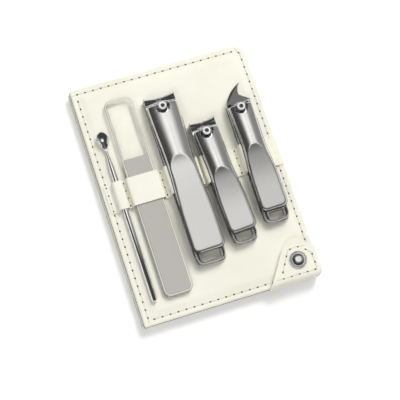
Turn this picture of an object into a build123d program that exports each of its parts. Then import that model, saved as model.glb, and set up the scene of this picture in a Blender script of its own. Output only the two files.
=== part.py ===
# Folding manicure set case, lying open on a table with its cover folded back under it.
# X runs from the fold to the free edge, Y from the foot of the case to its head, Z up.
# The origin is under the middle of the tool leaf, on the table. All sizes are in millimetres.
import os
from math import radians, sin
from dataclasses import dataclass

from build123d import *

# Leaf that carries the tools
LEAF_WIDTH = 81.2
LEAF_HEIGHT = 112.0
FREE_CORNER_RADIUS = 5.0
FOLD_CORNER_RADIUS = 0.8
SEAM_MARGIN = 3.6
BACK_SKIN_T = 0.6
BOARD_T = 1.0
FOAM_T = 0.8
FACE_T = 0.8
MARGIN_T = 1.2
PAD_EDGE_BEVEL = 0.7
FOLD_ALLOWANCE = 1.2
LEFT = -LEAF_WIDTH / 2
RIGHT = LEAF_WIDTH / 2
FOOT = -LEAF_HEIGHT / 2
HEAD = LEAF_HEIGHT / 2

# Cover leaf
COVER_TRIM = 1.2
LINING_T = 0.5
COVER_BOARD_T = 0.9
COVER_SKIN_T = 0.6
COVER_EDGE_BEVEL = 0.4

# Folding spine of two strips
SPINE_T = 0.7
SPINE_SKIN_CLEARANCE = 0.2
SPINE_STRIP_CLEARANCE = 0.3
SPINE_LINK_LONG = 8.0
SPINE_LINK_SHORT = 6.8
SPINE_HINGE_SETBACK = 1.0
SPINE_CREASE_SETBACK = 0.6

# Tool strap
STRAP_WIDTH = 12.9
STRAP_BOTTOM_Y = -3.8
STRAP_T = 0.7
STRAP_SLACK = 0.3
STRAP_BEND_RADIUS = 0.12
STRAP_PAD_GAP = 0.2
STRAP_EDGE_GAP = 0.3

# Closing tab and its snap
TAB_T = 1.1
TAB_EDGE_GAP = 0.2
TAB_STANDOFF = 2.2
TAB_FOLD_RADIUS = 3.3
TAB_LEFT_FOOT_INSET = 26.7
TAB_LEFT_HEAD_INSET = 14.0
TAB_RIGHT_HEAD_INSET = 6.6
TAB_RIGHT_INSET = 0.5
TAB_RISE = 18.0
TAB_SHOULDER_RISE = 13.6
TAB_LEFT_FOOT_X = RIGHT - TAB_LEFT_FOOT_INSET
TAB_LEFT_HEAD_X = RIGHT - TAB_LEFT_HEAD_INSET
TAB_RIGHT_HEAD_X = RIGHT - TAB_RIGHT_HEAD_INSET
TAB_RIGHT_X = RIGHT - TAB_RIGHT_INSET
TAB_TOP_Y = FOOT + TAB_RISE
TAB_SHOULDER_Y = FOOT + TAB_SHOULDER_RISE
TAB_HEAD_RADIUS = 5.0
TAB_SHOULDER_RADIUS = 2.5
TAB_FOOT_RADIUS = 3.2
TAB_ROOT_T = 0.8
TAB_ROOT_DEPTH = 4.3
TAB_HINGE_RISE = 0.65
TAB_HINGE_GAP = 0.25
SNAP_INSET = 9.4
SNAP_RISE = 8.2
SNAP_X = RIGHT - SNAP_INSET
SNAP_Y = FOOT + SNAP_RISE
SNAP_CAP_RADIUS = 4.0
SNAP_CAP_RIM_T = 0.7
SNAP_CAP_HEIGHT = 2.0
SNAP_CAP_LIP = 0.8
SNAP_SHOULDER_REACH = 0.7
SNAP_SHOULDER_RISE = 0.7
SNAP_POST_RADIUS = 1.1
SNAP_POST_FIT = 0.05
SOCKET_RADIUS = 3.3
SOCKET_BORE_RADIUS = 2.5
SOCKET_DEPTH = 1.5
SOCKET_WEB_T = 0.3
STUD_FLANGE_RADIUS = 3.2
STUD_FLANGE_T = 0.3
STUD_HEIGHT = 1.6
STUD_FOOT_RADIUS = 1.8
STUD_HEAD_RADIUS = 1.3
RIVET_FLANGE_T = 0.35

# Ear pick
PICK_INSET = 6.3
PICK_RISE = 9.4
PICK_X = LEFT + PICK_INSET
PICK_FOOT_Y = FOOT + PICK_RISE
PICK_LENGTH = 79.8
PICK_RADIUS = 1.3
PICK_NECK_RADIUS = 0.65
PICK_NECK_LENGTH = 9.0
PICK_FOOT_BEVEL = 0.5
PICK_BOWL_RADIUS = 2.4
PICK_BOWL_FOOT_RADIUS = 1.5
PICK_BOWL_WALL = 0.5
PICK_BOWL_DEPTH = 1.1

# Glass file
FILE_WIDTH = 13.0
FILE_GAP = 3.6
FILE_CENTRE_X = PICK_X + PICK_RADIUS + FILE_GAP + FILE_WIDTH / 2
FILE_LENGTH = 92.2
FILE_RISE = 9.3
FILE_FOOT_Y = FOOT + FILE_RISE
FILE_T = 3.0
FILE_CORNER_RADIUS = 3.0
FILE_BEVEL_WIDTH = 1.0
FILE_BEVEL_DEPTH = 0.6
FILE_GRIT_LENGTH = 62.0
FILE_GRIT_DEPTH = 0.08

# What the three clippers share, as heights above their underside
TOOL_SEAT = 0.15
LOWER_ARM_T = 1.5
ARM_GAP = 2.0
UPPER_ARM_T = 1.4
LEVER_CLEARANCE = 0.3
LEVER_HEIGHT = 2.7
LEVER_WALL = 1.3
LEVER_HOLLOW = 0.9
LOOP_STEP = 0.5
LOOP_CORNER_RADIUS = 3.6
LOOP_BAR = 1.7
SLOT_ROUNDING = 1 / 3
LOWER_EDGE_HEIGHT = 2.75
JAW_GAP = 1.7
JAW_LIP_HEIGHT = 6.8
JAW_HOOK_LENGTH = 4.3
JAW_THROAT_LENGTH = 5.2
JAW_SAG = 0.25
JAW_HOOK_SAG = 0.35
JAW_CHIN_RADIUS = 1.2
JAW_EDGE_SETBACK = 0.25
JAW_LIP_LENGTH = 1.2
JAW_LIP_FALL = 0.6
JAW_LIP_BULGE_Y = 0.3
JAW_LIP_BULGE_Z = 0.15
PIN_RADIUS = 2.05
PIN_ARM_CLEARANCE = 0.3
PIN_EYE_RADIUS = 0.85
PIN_EYE_DEPTH = 0.5
PIN_CHAMFER = 0.3
PIN_FOOT_RADIUS = 3.0
PIN_FOOT_T = 0.7
PIN_TOP_HEIGHT = 8.8
PIN_FOOT_LIFT = 0.1
CROSSBAR_HEIGHT = 7.1
CROSSBAR_OFFSET = 1.2
CROSSBAR_RADIUS = 0.85
CROSSBAR_FIT = 0.08
LEVER_NOSE_RADIUS = 2.95
LEVER_NOSE_HEIGHT = 8.0
LEVER_WELL_RADIUS = 3.05
LEVER_WELL_SHIFT = 0.45
LEVER_FRONT_OFFSET = 1.3
LEVER_THROAT_HALF_WIDTH = 2.35
LEVER_BAR_OVERHANG = 0.6
LEVER_STRAIGHT = 14.0
LEVER_CORNER_RADIUS = 2.2
LEVER_REAR_ROLL = 1.2
LEVER_SOLID_HEAD = 6.0
SCOOP_BROW_LENGTH = 9.0
SCOOP_BROW_DEPTH = 0.8
SCOOP_BROW_BEND_Y = 3.0
SCOOP_BROW_BEND_DEPTH = 0.4
RIVET_OFFSET = 9.5
RIVET_RADIUS = 1.3
RIVET_COLLAR_RADIUS = 2.4
RIVET_FIT = 0.05
RIVET_PLAY = 0.12


@dataclass
class Clipper:
    """Sizes of one clipper; the places are in the plan of the case, before it is turned."""
    name: str
    beside_x: float
    gap: float
    turn: float
    rear_y: float
    jaw_y: float
    pin_y: float
    arm_rear_width: float
    jaw_width: float
    jaw_hollow: float
    slot_width: float
    slot_length: float
    lever_rear_y: float
    lever_rear_width: float
    lever_waist_y: float
    lever_waist_width: float
    lever_front_width: float
    lever_crown: float
    scoop_y: float
    scoop_depth: float

    @property
    def axis_x(self):
        """Place of the axis, past the tool beside it and the gap between them."""
        return self.beside_x + self.gap + self.arm_rear_width / 2

    @property
    def right_x(self):
        """Place of the right side of the arms."""
        return self.axis_x + self.arm_rear_width / 2


LARGE = Clipper(
    name="large", beside_x=FILE_CENTRE_X + FILE_WIDTH / 2, gap=4.35, turn=0.0,
    rear_y=-38.3, jaw_y=41.2, pin_y=35.2,
    arm_rear_width=14.1, jaw_width=14.1, jaw_hollow=1.1, slot_width=9.2, slot_length=4.6,
    lever_rear_y=-32.7, lever_rear_width=14.4, lever_waist_y=7.0, lever_waist_width=12.4,
    lever_front_width=14.0, lever_crown=2.0, scoop_y=10.4, scoop_depth=1.1)
SMALL = Clipper(
    name="small", beside_x=LARGE.right_x, gap=2.15, turn=2.4,
    rear_y=-34.0, jaw_y=25.0, pin_y=18.6,
    arm_rear_width=12.0, jaw_width=11.7, jaw_hollow=0.9, slot_width=7.4, slot_length=3.8,
    lever_rear_y=-28.7, lever_rear_width=12.4, lever_waist_y=2.0, lever_waist_width=10.6,
    lever_front_width=11.4, lever_crown=1.8, scoop_y=0.6, scoop_depth=1.0)
SLANTED = Clipper(
    name="slanted", beside_x=SMALL.right_x, gap=6.3, turn=0.0,
    rear_y=-29.2, jaw_y=36.9, pin_y=25.0,
    arm_rear_width=12.2, jaw_width=11.2, jaw_hollow=0.0, slot_width=7.0, slot_length=3.6,
    lever_rear_y=-23.4, lever_rear_width=12.2, lever_waist_y=7.5, lever_waist_width=10.2,
    lever_front_width=11.0, lever_crown=1.8, scoop_y=6.3, scoop_depth=1.0)
CLIPPERS = (LARGE, SMALL, SLANTED)

# Beak of the slanted clipper, measured from its axis
BEAK_SHOULDER_Y = 27.8
BEAK_TIP_X = 3.7
BEAK_NOTCH_X = 1.3
BEAK_NOTCH_Y = 31.2
BEAK_SWELL_X = -2.7
BEAK_SWELL_Y = 32.4
BEAK_WAIST_X = 1.5
BEAK_WAIST_Y = 33.9
BEAK_THROAT_OFFSET = 3.5
BEAK_RAMP_OFFSET = 1.5
BEAK_RIDGE = 1.2
BEAK_RAMP_SAG = 0.15
BEAK_TIP_T = 0.7
BEAK_BEVEL_ANGLE = 12.0

# Levels that follow from the layers
COVER_TOP = LINING_T + COVER_BOARD_T + COVER_SKIN_T
BACK_BOTTOM = COVER_TOP + 2 * (SPINE_SKIN_CLEARANCE + SPINE_T) + SPINE_STRIP_CLEARANCE
BACK_TOP = BACK_BOTTOM + BACK_SKIN_T
BOARD_TOP = BACK_TOP + BOARD_T
FOAM_TOP = BOARD_TOP + FOAM_T
FACE_TOP = FOAM_TOP + FACE_T
MARGIN_TOP = BACK_TOP + MARGIN_T
TOOL_BOTTOM = FACE_TOP + TOOL_SEAT
UPPER_ARM_BOTTOM = TOOL_BOTTOM + LOWER_ARM_T + ARM_GAP
UPPER_ARM_TOP = UPPER_ARM_BOTTOM + UPPER_ARM_T
STRAP_OVER_ARM = UPPER_ARM_TOP + STRAP_SLACK
LEVER_BOTTOM = STRAP_OVER_ARM + STRAP_T + LEVER_CLEARANCE
LEVER_TOP = LEVER_BOTTOM + LEVER_HEIGHT
CROSSBAR_Z = TOOL_BOTTOM + CROSSBAR_HEIGHT
PICK_Z = FACE_TOP + TOOL_SEAT + PICK_RADIUS
FILE_BOTTOM = FACE_TOP + TOOL_SEAT
TAB_BOTTOM = FACE_TOP + TAB_STANDOFF
TAB_TOP = TAB_BOTTOM + TAB_T

# Fold lines and outer edges that follow from them
FOLD_X = LEFT - FOLD_ALLOWANCE
CREASE_X = FOLD_X + SPINE_LINK_LONG
COVER_FOLD_X = CREASE_X - SPINE_LINK_SHORT
COVER_LEFT = COVER_FOLD_X + FOLD_ALLOWANCE
COVER_FOOT = FOOT + COVER_TRIM
COVER_HEAD = HEAD - COVER_TRIM
TAB_INNER_Y = FOOT - TAB_EDGE_GAP
TAB_OUTER_Y = TAB_INNER_Y - TAB_T
TAB_HINGE_Z = BACK_BOTTOM + TAB_HINGE_RISE


def block(left, right, foot, head, bottom, top):
    """Plain cuboid between two corners."""
    centre = Pos((left + right) / 2, (foot + head) / 2, (bottom + top) / 2)
    return centre * Box(right - left, head - foot, top - bottom)


def leaf_outline(left, right, foot, head, inset):
    """Leaf shape: nearly square at the fold, rounded at the free edge."""
    width = right - left - 2 * inset
    height = head - foot - 2 * inset
    sheet = Pos((left + right) / 2, (foot + head) / 2) * Rectangle(width, height)
    free_corners = sheet.vertices().sort_by(Axis.X)[2:]
    sheet = fillet(free_corners, max(FREE_CORNER_RADIUS - inset, FOLD_CORNER_RADIUS))
    fold_corners = sheet.vertices().sort_by(Axis.X)[:2]
    return fillet(fold_corners, FOLD_CORNER_RADIUS)


def slab(outline, bottom, top):
    """Outline raised to a plate between two levels."""
    return extrude(Pos(0, 0, bottom) * outline, amount=top - bottom)


def upright(x, y, radius, bottom, top):
    """Round bar standing on its end."""
    return Pos(x, y, (bottom + top) / 2) * Cylinder(radius, top - bottom)


def crosswise(profile, left, right):
    """Side profile, drawn as (Y, Z), stretched across the case from left to right."""
    return extrude(Plane.YZ.offset(left) * profile, amount=right - left)


def top_edges(solid):
    """Edges around the highest flat face."""
    return solid.faces().filter_by(Axis.Z).sort_by(Axis.Z)[-1].edges()


def stud_hole():
    """Bore through the tool leaf for the rivet of the snap stud."""
    return upright(SNAP_X, SNAP_Y, SNAP_POST_RADIUS + SNAP_POST_FIT, BACK_BOTTOM, FACE_TOP)


def panel_back():
    """Outer skin of the tool leaf, long enough at the left to reach the fold line."""
    skin = slab(leaf_outline(FOLD_X, RIGHT, FOOT, HEAD, 0), BACK_BOTTOM, BACK_TOP)
    return skin - stud_hole()


def panel_board():
    """Stiff card inside the seam of the tool leaf."""
    return slab(leaf_outline(LEFT, RIGHT, FOOT, HEAD, SEAM_MARGIN), BACK_TOP, BOARD_TOP) - stud_hole()


def panel_foam():
    """Thin wadding between the card and the leather face."""
    return slab(leaf_outline(LEFT, RIGHT, FOOT, HEAD, SEAM_MARGIN), BOARD_TOP, FOAM_TOP) - stud_hole()


def panel_face():
    """Leather face: a thin sewn margin round a raised, soft-edged pad, hollow for card and foam."""
    margin = slab(leaf_outline(LEFT, RIGHT, FOOT, HEAD, 0), BACK_TOP, MARGIN_TOP)
    pad_inset = SEAM_MARGIN - FACE_T
    pad = slab(leaf_outline(LEFT, RIGHT, FOOT, HEAD, pad_inset), BACK_TOP, FACE_TOP)
    pad = chamfer(top_edges(pad), PAD_EDGE_BEVEL)
    filling = slab(leaf_outline(LEFT, RIGHT, FOOT, HEAD, SEAM_MARGIN), BACK_TOP, FOAM_TOP)
    return margin + pad - filling - stud_hole()


def cover_lining():
    """Inside lining of the cover, which is the underside while the cover is folded back."""
    return slab(leaf_outline(COVER_LEFT, RIGHT, COVER_FOOT, COVER_HEAD, 0), 0, LINING_T)


def cover_board():
    """Stiff card inside the seam of the cover."""
    outline = leaf_outline(COVER_LEFT, RIGHT, COVER_FOOT, COVER_HEAD, SEAM_MARGIN)
    return slab(outline, LINING_T, LINING_T + COVER_BOARD_T)


def cover_skin():
    """Outer skin of the cover with its turned margin, reaching to its own fold line."""
    rim = slab(leaf_outline(COVER_LEFT, RIGHT, COVER_FOOT, COVER_HEAD, 0), LINING_T, COVER_TOP)
    rim = chamfer(top_edges(rim), COVER_EDGE_BEVEL)
    board_top = LINING_T + COVER_BOARD_T
    strip_right = COVER_LEFT + SEAM_MARGIN
    fold_strip = block(COVER_FOLD_X, strip_right, COVER_FOOT, COVER_HEAD, board_top, COVER_TOP)
    return rim + fold_strip - cover_board()


def spine_strip(fold_x, setback, bottom):
    """One leather strip of the folding spine, from a leaf's fold line to the crease."""
    left = fold_x + setback
    right = CREASE_X - SPINE_CREASE_SETBACK
    return block(left, right, COVER_FOOT, COVER_HEAD, bottom, bottom + SPINE_T)


def strap_span(clipper):
    """Left and right of the room that the strap leaves for a clipper, which may lie at a slant."""
    swing = sin(radians(clipper.turn))
    foot_x = clipper.axis_x + (clipper.pin_y - STRAP_BOTTOM_Y) * swing
    head_x = foot_x - STRAP_WIDTH * swing
    half_arm = clipper.arm_rear_width / 2 + STRAP_SLACK
    return head_x - half_arm, foot_x + half_arm


def strap_line(thickness):
    """Line along the strap's underside or, with its thickness, along its outer side, as X and Z."""
    half_pick = PICK_RADIUS + STRAP_SLACK
    half_file = FILE_WIDTH / 2 + STRAP_SLACK
    spans = [
        (PICK_X - half_pick, PICK_X + half_pick, PICK_Z + PICK_RADIUS),
        (FILE_CENTRE_X - half_file, FILE_CENTRE_X + half_file, FILE_BOTTOM + FILE_T),
    ]
    for clipper in CLIPPERS:
        left, right = strap_span(clipper)
        spans.append((left, right, UPPER_ARM_TOP))
    crest = STRAP_BEND_RADIUS + thickness
    foot = STRAP_BEND_RADIUS + STRAP_T - thickness
    pad_edge = SEAM_MARGIN - FACE_T - STRAP_PAD_GAP
    margin = MARGIN_TOP + thickness
    ground = FACE_TOP + thickness
    points = [(LEFT + STRAP_EDGE_GAP, margin)]
    points += [(LEFT + pad_edge - thickness, margin), (LEFT + pad_edge - thickness, ground)]
    radii = [foot, crest]
    for left, right, tool_top in spans:
        top = tool_top + STRAP_SLACK + thickness
        points += [(left - thickness, ground), (left - thickness, top)]
        points += [(right + thickness, top), (right + thickness, ground)]
        radii += [foot, crest, crest, foot]
    points += [(RIGHT - pad_edge + thickness, ground), (RIGHT - pad_edge + thickness, margin)]
    points.append((RIGHT - STRAP_EDGE_GAP, margin))
    radii += [crest, foot]
    return FilletPolyline(*points, radius=radii)


def tool_strap():
    """One leather band that is sewn down between the tools and rises over each of them."""
    inner = strap_line(0)
    outer = strap_line(STRAP_T)
    ends = [Line(inner @ 0, outer @ 0), Line(inner @ 1, outer @ 1)]
    profile = make_face(inner.edges() + outer.edges() + ends)
    return lengthwise(profile, STRAP_BOTTOM_Y, STRAP_BOTTOM_Y + STRAP_WIDTH)


def tab_outline():
    """Plan of the closing tab: slanted at the left, rounded at the top, square to the foot."""
    corners = [
        (TAB_LEFT_FOOT_X, TAB_OUTER_Y, 0),
        (TAB_LEFT_HEAD_X, TAB_TOP_Y, TAB_HEAD_RADIUS),
        (TAB_RIGHT_HEAD_X, TAB_TOP_Y, TAB_SHOULDER_RADIUS),
        (TAB_RIGHT_X, TAB_SHOULDER_Y, TAB_SHOULDER_RADIUS),
        (TAB_RIGHT_X, TAB_OUTER_Y, TAB_FOOT_RADIUS),
    ]
    outline = make_face(Polyline(*[(x, y) for x, y, radius in corners], close=True).edges())
    for x, y, radius in corners:
        if radius:
            corner = outline.vertices().sort_by_distance((x, y, 0))[0]
            outline = fillet(corner, radius)
    return outline


def snap_tab():
    """Leather tab that comes up round the foot of the case and lies over its corner."""
    bend_z = TAB_BOTTOM - TAB_FOLD_RADIUS
    bend_y = TAB_INNER_Y + TAB_FOLD_RADIUS
    outer_radius = TAB_FOLD_RADIUS + TAB_T
    start_z = TAB_HINGE_Z + TAB_HINGE_GAP
    outer_bend = CenterArc((bend_y, bend_z), outer_radius, 90, 90)
    inner_bend = CenterArc((bend_y, bend_z), TAB_FOLD_RADIUS, 90, 90)
    sides = [
        Line((TAB_OUTER_Y, bend_z), (TAB_OUTER_Y, start_z)),
        Line((TAB_OUTER_Y, start_z), (TAB_INNER_Y, start_z)),
        Line((TAB_INNER_Y, start_z), (TAB_INNER_Y, bend_z)),
        Line((bend_y, TAB_BOTTOM), (TAB_TOP_Y, TAB_BOTTOM)),
        Line((TAB_TOP_Y, TAB_BOTTOM), (TAB_TOP_Y, TAB_TOP)),
        Line((TAB_TOP_Y, TAB_TOP), (bend_y, TAB_TOP)),
    ]
    profile = make_face(outer_bend.edges() + inner_bend.edges() + sides)
    band = crosswise(profile, TAB_LEFT_FOOT_X, TAB_RIGHT_X)
    band = band & slab(tab_outline(), start_z, TAB_TOP)
    return band - upright(SNAP_X, SNAP_Y, SNAP_POST_RADIUS + SNAP_POST_FIT, TAB_BOTTOM, TAB_TOP)


def tab_root():
    """Sewn end of the tab, under the back skin and up to the fold of the tab."""
    under = (TAB_OUTER_Y, FOOT + TAB_ROOT_DEPTH, BACK_BOTTOM - TAB_ROOT_T, BACK_BOTTOM)
    upright_part = (TAB_OUTER_Y, TAB_INNER_Y, BACK_BOTTOM - TAB_ROOT_T, TAB_HINGE_Z)
    root = block(TAB_LEFT_FOOT_X, TAB_RIGHT_X, *under)
    root += block(TAB_LEFT_FOOT_X, TAB_RIGHT_X, *upright_part)
    low_edge = root.edges().filter_by(Axis.X).group_by(Axis.Z)[0].sort_by(Axis.Y)[0]
    root = fillet(low_edge, TAB_ROOT_T)
    return root & slab(tab_outline(), BACK_BOTTOM - TAB_ROOT_T, TAB_HINGE_Z)


def snap_cap():
    """Domed cap of the snap with its bevelled rim and the post that goes through the tab."""
    rim_z = TAB_TOP + SNAP_CAP_RIM_T
    bevel = SNAP_CAP_RIM_T / 2
    dome = SNAP_CAP_RADIUS - SNAP_CAP_LIP
    rise = SNAP_CAP_HEIGHT - SNAP_CAP_RIM_T
    profile = Polyline(
        (0, TAB_BOTTOM - SOCKET_WEB_T), (SNAP_POST_RADIUS, TAB_BOTTOM - SOCKET_WEB_T),
        (SNAP_POST_RADIUS, TAB_TOP), (SNAP_CAP_RADIUS, TAB_TOP), (SNAP_CAP_RADIUS, rim_z - bevel),
        (SNAP_CAP_RADIUS - bevel, rim_z), (dome, rim_z),
        (dome * SNAP_SHOULDER_REACH, rim_z + rise * SNAP_SHOULDER_RISE), (0, rim_z + rise), close=True)
    return Pos(SNAP_X, SNAP_Y) * revolve(Plane.XZ * make_face(profile.edges()), Axis.Z)


def snap_socket():
    """Socket ring of the snap, held under the tab by its web."""
    low = TAB_BOTTOM - SOCKET_DEPTH
    mouth_top = TAB_BOTTOM - SOCKET_WEB_T
    ring = upright(SNAP_X, SNAP_Y, SOCKET_RADIUS, low, TAB_BOTTOM)
    mouth = upright(SNAP_X, SNAP_Y, SOCKET_BORE_RADIUS, low, mouth_top)
    post = upright(SNAP_X, SNAP_Y, SNAP_POST_RADIUS + SNAP_POST_FIT, mouth_top, TAB_BOTTOM)
    return ring - mouth - post


def snap_stud():
    """Stud on the leather face that the socket snaps over."""
    flange = upright(SNAP_X, SNAP_Y, STUD_FLANGE_RADIUS, FACE_TOP, FACE_TOP + STUD_FLANGE_T)
    height = STUD_HEIGHT - STUD_FLANGE_T
    foot = Pos(SNAP_X, SNAP_Y, FACE_TOP + STUD_FLANGE_T + height / 2)
    return flange + foot * Cone(STUD_FOOT_RADIUS, STUD_HEAD_RADIUS, height)


def snap_rivet():
    """Rivet behind the leaf that holds the stud."""
    flange = upright(SNAP_X, SNAP_Y, STUD_FLANGE_RADIUS, BACK_BOTTOM - RIVET_FLANGE_T, BACK_BOTTOM)
    return flange + upright(SNAP_X, SNAP_Y, SNAP_POST_RADIUS, BACK_BOTTOM, FACE_TOP)


def glass_file():
    """Glass plate with bevelled edges and an etched, slightly sunk filing area."""
    plan = RectangleRounded(FILE_WIDTH, FILE_LENGTH, FILE_CORNER_RADIUS)
    centre_y = FILE_FOOT_Y + FILE_LENGTH / 2
    plate = slab(Pos(FILE_CENTRE_X, centre_y) * plan, FILE_BOTTOM, FILE_BOTTOM + FILE_T)
    upper = plate.faces().sort_by(Axis.Z)[-1]
    plate = chamfer(upper.edges(), FILE_BEVEL_DEPTH, FILE_BEVEL_WIDTH, reference=upper)
    grit_width = FILE_WIDTH - 2 * FILE_BEVEL_WIDTH
    grit_radius = FILE_CORNER_RADIUS - FILE_BEVEL_WIDTH
    grit = RectangleRounded(grit_width, FILE_GRIT_LENGTH, grit_radius)
    grit_y = FILE_FOOT_Y + FILE_BEVEL_WIDTH + FILE_GRIT_LENGTH / 2
    top = FILE_BOTTOM + FILE_T
    return plate - slab(Pos(FILE_CENTRE_X, grit_y) * grit, top - FILE_GRIT_DEPTH, top)


def ear_pick():
    """Round rod with a bevelled foot, a neck that thins to the front and a small round bowl."""
    bowl_y = PICK_FOOT_Y + PICK_LENGTH - PICK_BOWL_RADIUS
    neck_end_y = bowl_y - PICK_BOWL_RADIUS + PICK_BOWL_WALL
    profile = Polyline(
        (0, PICK_FOOT_Y), (PICK_RADIUS - PICK_FOOT_BEVEL, PICK_FOOT_Y),
        (PICK_RADIUS, PICK_FOOT_Y + PICK_FOOT_BEVEL), (PICK_RADIUS, neck_end_y - PICK_NECK_LENGTH),
        (PICK_NECK_RADIUS, neck_end_y), (0, neck_end_y), close=True)
    rod = Pos(PICK_X, 0, PICK_Z) * revolve(make_face(profile.edges()), Axis.Y)
    rim_z = PICK_Z + PICK_NECK_RADIUS
    low_z = rim_z - PICK_BOWL_DEPTH
    bowl = Cone(PICK_BOWL_FOOT_RADIUS, PICK_BOWL_RADIUS, PICK_BOWL_DEPTH)
    inner_foot = PICK_BOWL_FOOT_RADIUS - PICK_BOWL_WALL
    inner_depth = PICK_BOWL_DEPTH - PICK_BOWL_WALL
    hollow = Cone(inner_foot, PICK_BOWL_RADIUS - PICK_BOWL_WALL, inner_depth)
    bowl = Pos(PICK_X, bowl_y, (low_z + rim_z) / 2) * bowl
    return (rod + bowl) - Pos(PICK_X, bowl_y, rim_z - inner_depth / 2) * hollow


def jaw_line(clipper):
    """Front of an arm's plan: hollow-ground across, or the hooked beak that sweeps to one side."""
    jaw = clipper.jaw_width / 2
    if clipper is not SLANTED:
        middle = (0, clipper.jaw_y - clipper.jaw_hollow)
        return [ThreePointArc((jaw, clipper.jaw_y), middle, (-jaw, clipper.jaw_y))]
    notch = (BEAK_NOTCH_X, BEAK_NOTCH_Y)
    tip = (BEAK_TIP_X, clipper.jaw_y)
    return [
        Line((jaw, BEAK_SHOULDER_Y), notch),
        ThreePointArc(notch, (BEAK_WAIST_X, BEAK_WAIST_Y), tip),
        ThreePointArc(tip, (BEAK_SWELL_X, BEAK_SWELL_Y), (-jaw, BEAK_SHOULDER_Y)),
    ]


def arm_plan(clipper, loop_inset):
    """Plan of one arm: rounded loop end, straight sides and the jaw."""
    half = clipper.arm_rear_width / 2 - loop_inset
    jaw = clipper.jaw_width / 2
    rear_y = clipper.rear_y + loop_inset
    front_y = BEAK_SHOULDER_Y if clipper is SLANTED else clipper.jaw_y
    sides = Polyline((-jaw, front_y), (-half, rear_y), (half, rear_y), (jaw, front_y))
    plan = make_face(sides.edges() + jaw_line(clipper))
    plan = fillet(plan.vertices().sort_by(Axis.Y)[:2], LOOP_CORNER_RADIUS)
    return Pos(clipper.axis_x, 0) * plan


def loop_slot(clipper, bottom, top):
    """Key-ring slot through the loop end."""
    slot = RectangleRounded(clipper.slot_width, clipper.slot_length, clipper.slot_length * SLOT_ROUNDING)
    centre_y = clipper.rear_y + LOOP_BAR + clipper.slot_length / 2
    return slab(Pos(clipper.axis_x, centre_y) * slot, bottom, top)


def lower_arm(clipper):
    """Lower arm: flat spring with a rounded chin that rises to the lower cutting edge."""
    floor = TOOL_BOTTOM
    top = floor + LOWER_ARM_T
    edge_y = clipper.jaw_y - JAW_EDGE_SETBACK
    edge_z = floor + LOWER_EDGE_HEIGHT
    throat_y = throat(clipper)
    sag_y = (throat_y + edge_y) / 2
    sag_z = (top + edge_z) / 2 - JAW_SAG
    lines = [
        Line((clipper.rear_y, floor), (clipper.jaw_y - JAW_CHIN_RADIUS, floor)),
        JernArc((clipper.jaw_y - JAW_CHIN_RADIUS, floor), (1, 0), JAW_CHIN_RADIUS, 90),
        Line((clipper.jaw_y, floor + JAW_CHIN_RADIUS), (edge_y, edge_z)),
        ThreePointArc((edge_y, edge_z), (sag_y, sag_z), (throat_y, top)),
        Line((throat_y, top), (clipper.rear_y, top)),
        Line((clipper.rear_y, top), (clipper.rear_y, floor)),
    ]
    half = max(clipper.jaw_width, clipper.arm_rear_width) / 2
    arm = crosswise(make_face(lines), clipper.axis_x - half, clipper.axis_x + half)
    arm = arm & slab(arm_plan(clipper, 0), floor, edge_z)
    foot_top = floor + PIN_FOOT_LIFT + PIN_FOOT_T + RIVET_FIT
    arm -= upright(clipper.axis_x, clipper.pin_y, PIN_RADIUS + RIVET_FIT, floor, edge_z)
    arm -= upright(clipper.axis_x, clipper.pin_y, PIN_FOOT_RADIUS + RIVET_FIT, floor, foot_top)
    rivet_y = clipper.rear_y + RIVET_OFFSET
    arm -= upright(clipper.axis_x, rivet_y, RIVET_RADIUS + RIVET_FIT, floor, top)
    return arm - loop_slot(clipper, floor, top)


def upper_arm(clipper):
    """Upper arm: flat spring whose hooked jaw has a raised lip over the upper cutting edge."""
    bottom = UPPER_ARM_BOTTOM
    top = UPPER_ARM_TOP
    edge_y = clipper.jaw_y - JAW_EDGE_SETBACK
    edge_z = TOOL_BOTTOM + LOWER_EDGE_HEIGHT + JAW_GAP
    lip_z = TOOL_BOTTOM + JAW_LIP_HEIGHT
    throat_y = throat(clipper)
    sag_y = (throat_y + edge_y) / 2
    sag_z = (bottom + edge_z) / 2 - JAW_SAG
    half = max(clipper.jaw_width, clipper.arm_rear_width) / 2
    lines = [
        Line((clipper.rear_y, bottom), (throat_y, bottom)),
        ThreePointArc((throat_y, bottom), (sag_y, sag_z), (edge_y, edge_z)),
        Line((clipper.rear_y, top), (clipper.rear_y, bottom)),
    ]
    if clipper is SLANTED:
        lines += beak_top(clipper, edge_y, edge_z, top)
    else:
        lines += lip_top(clipper, edge_y, edge_z, top, lip_z)
    arm = crosswise(make_face(lines), clipper.axis_x - half, clipper.axis_x + half)
    arm = arm & slab(arm_plan(clipper, LOOP_STEP), bottom, lip_z)
    if clipper is SLANTED:
        arm -= beak_bevel(clipper)
    arm -= upright(clipper.axis_x, clipper.pin_y, PIN_RADIUS + PIN_ARM_CLEARANCE, bottom, lip_z)
    rivet_y = clipper.rear_y + RIVET_OFFSET
    arm -= upright(clipper.axis_x, rivet_y, RIVET_RADIUS + RIVET_PLAY, bottom, top)
    return arm - loop_slot(clipper, bottom, top)


def throat(clipper):
    """Place where the jaw begins to leave the flat of the arm."""
    return clipper.pin_y + BEAK_THROAT_OFFSET if clipper is SLANTED else clipper.jaw_y - JAW_THROAT_LENGTH


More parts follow.
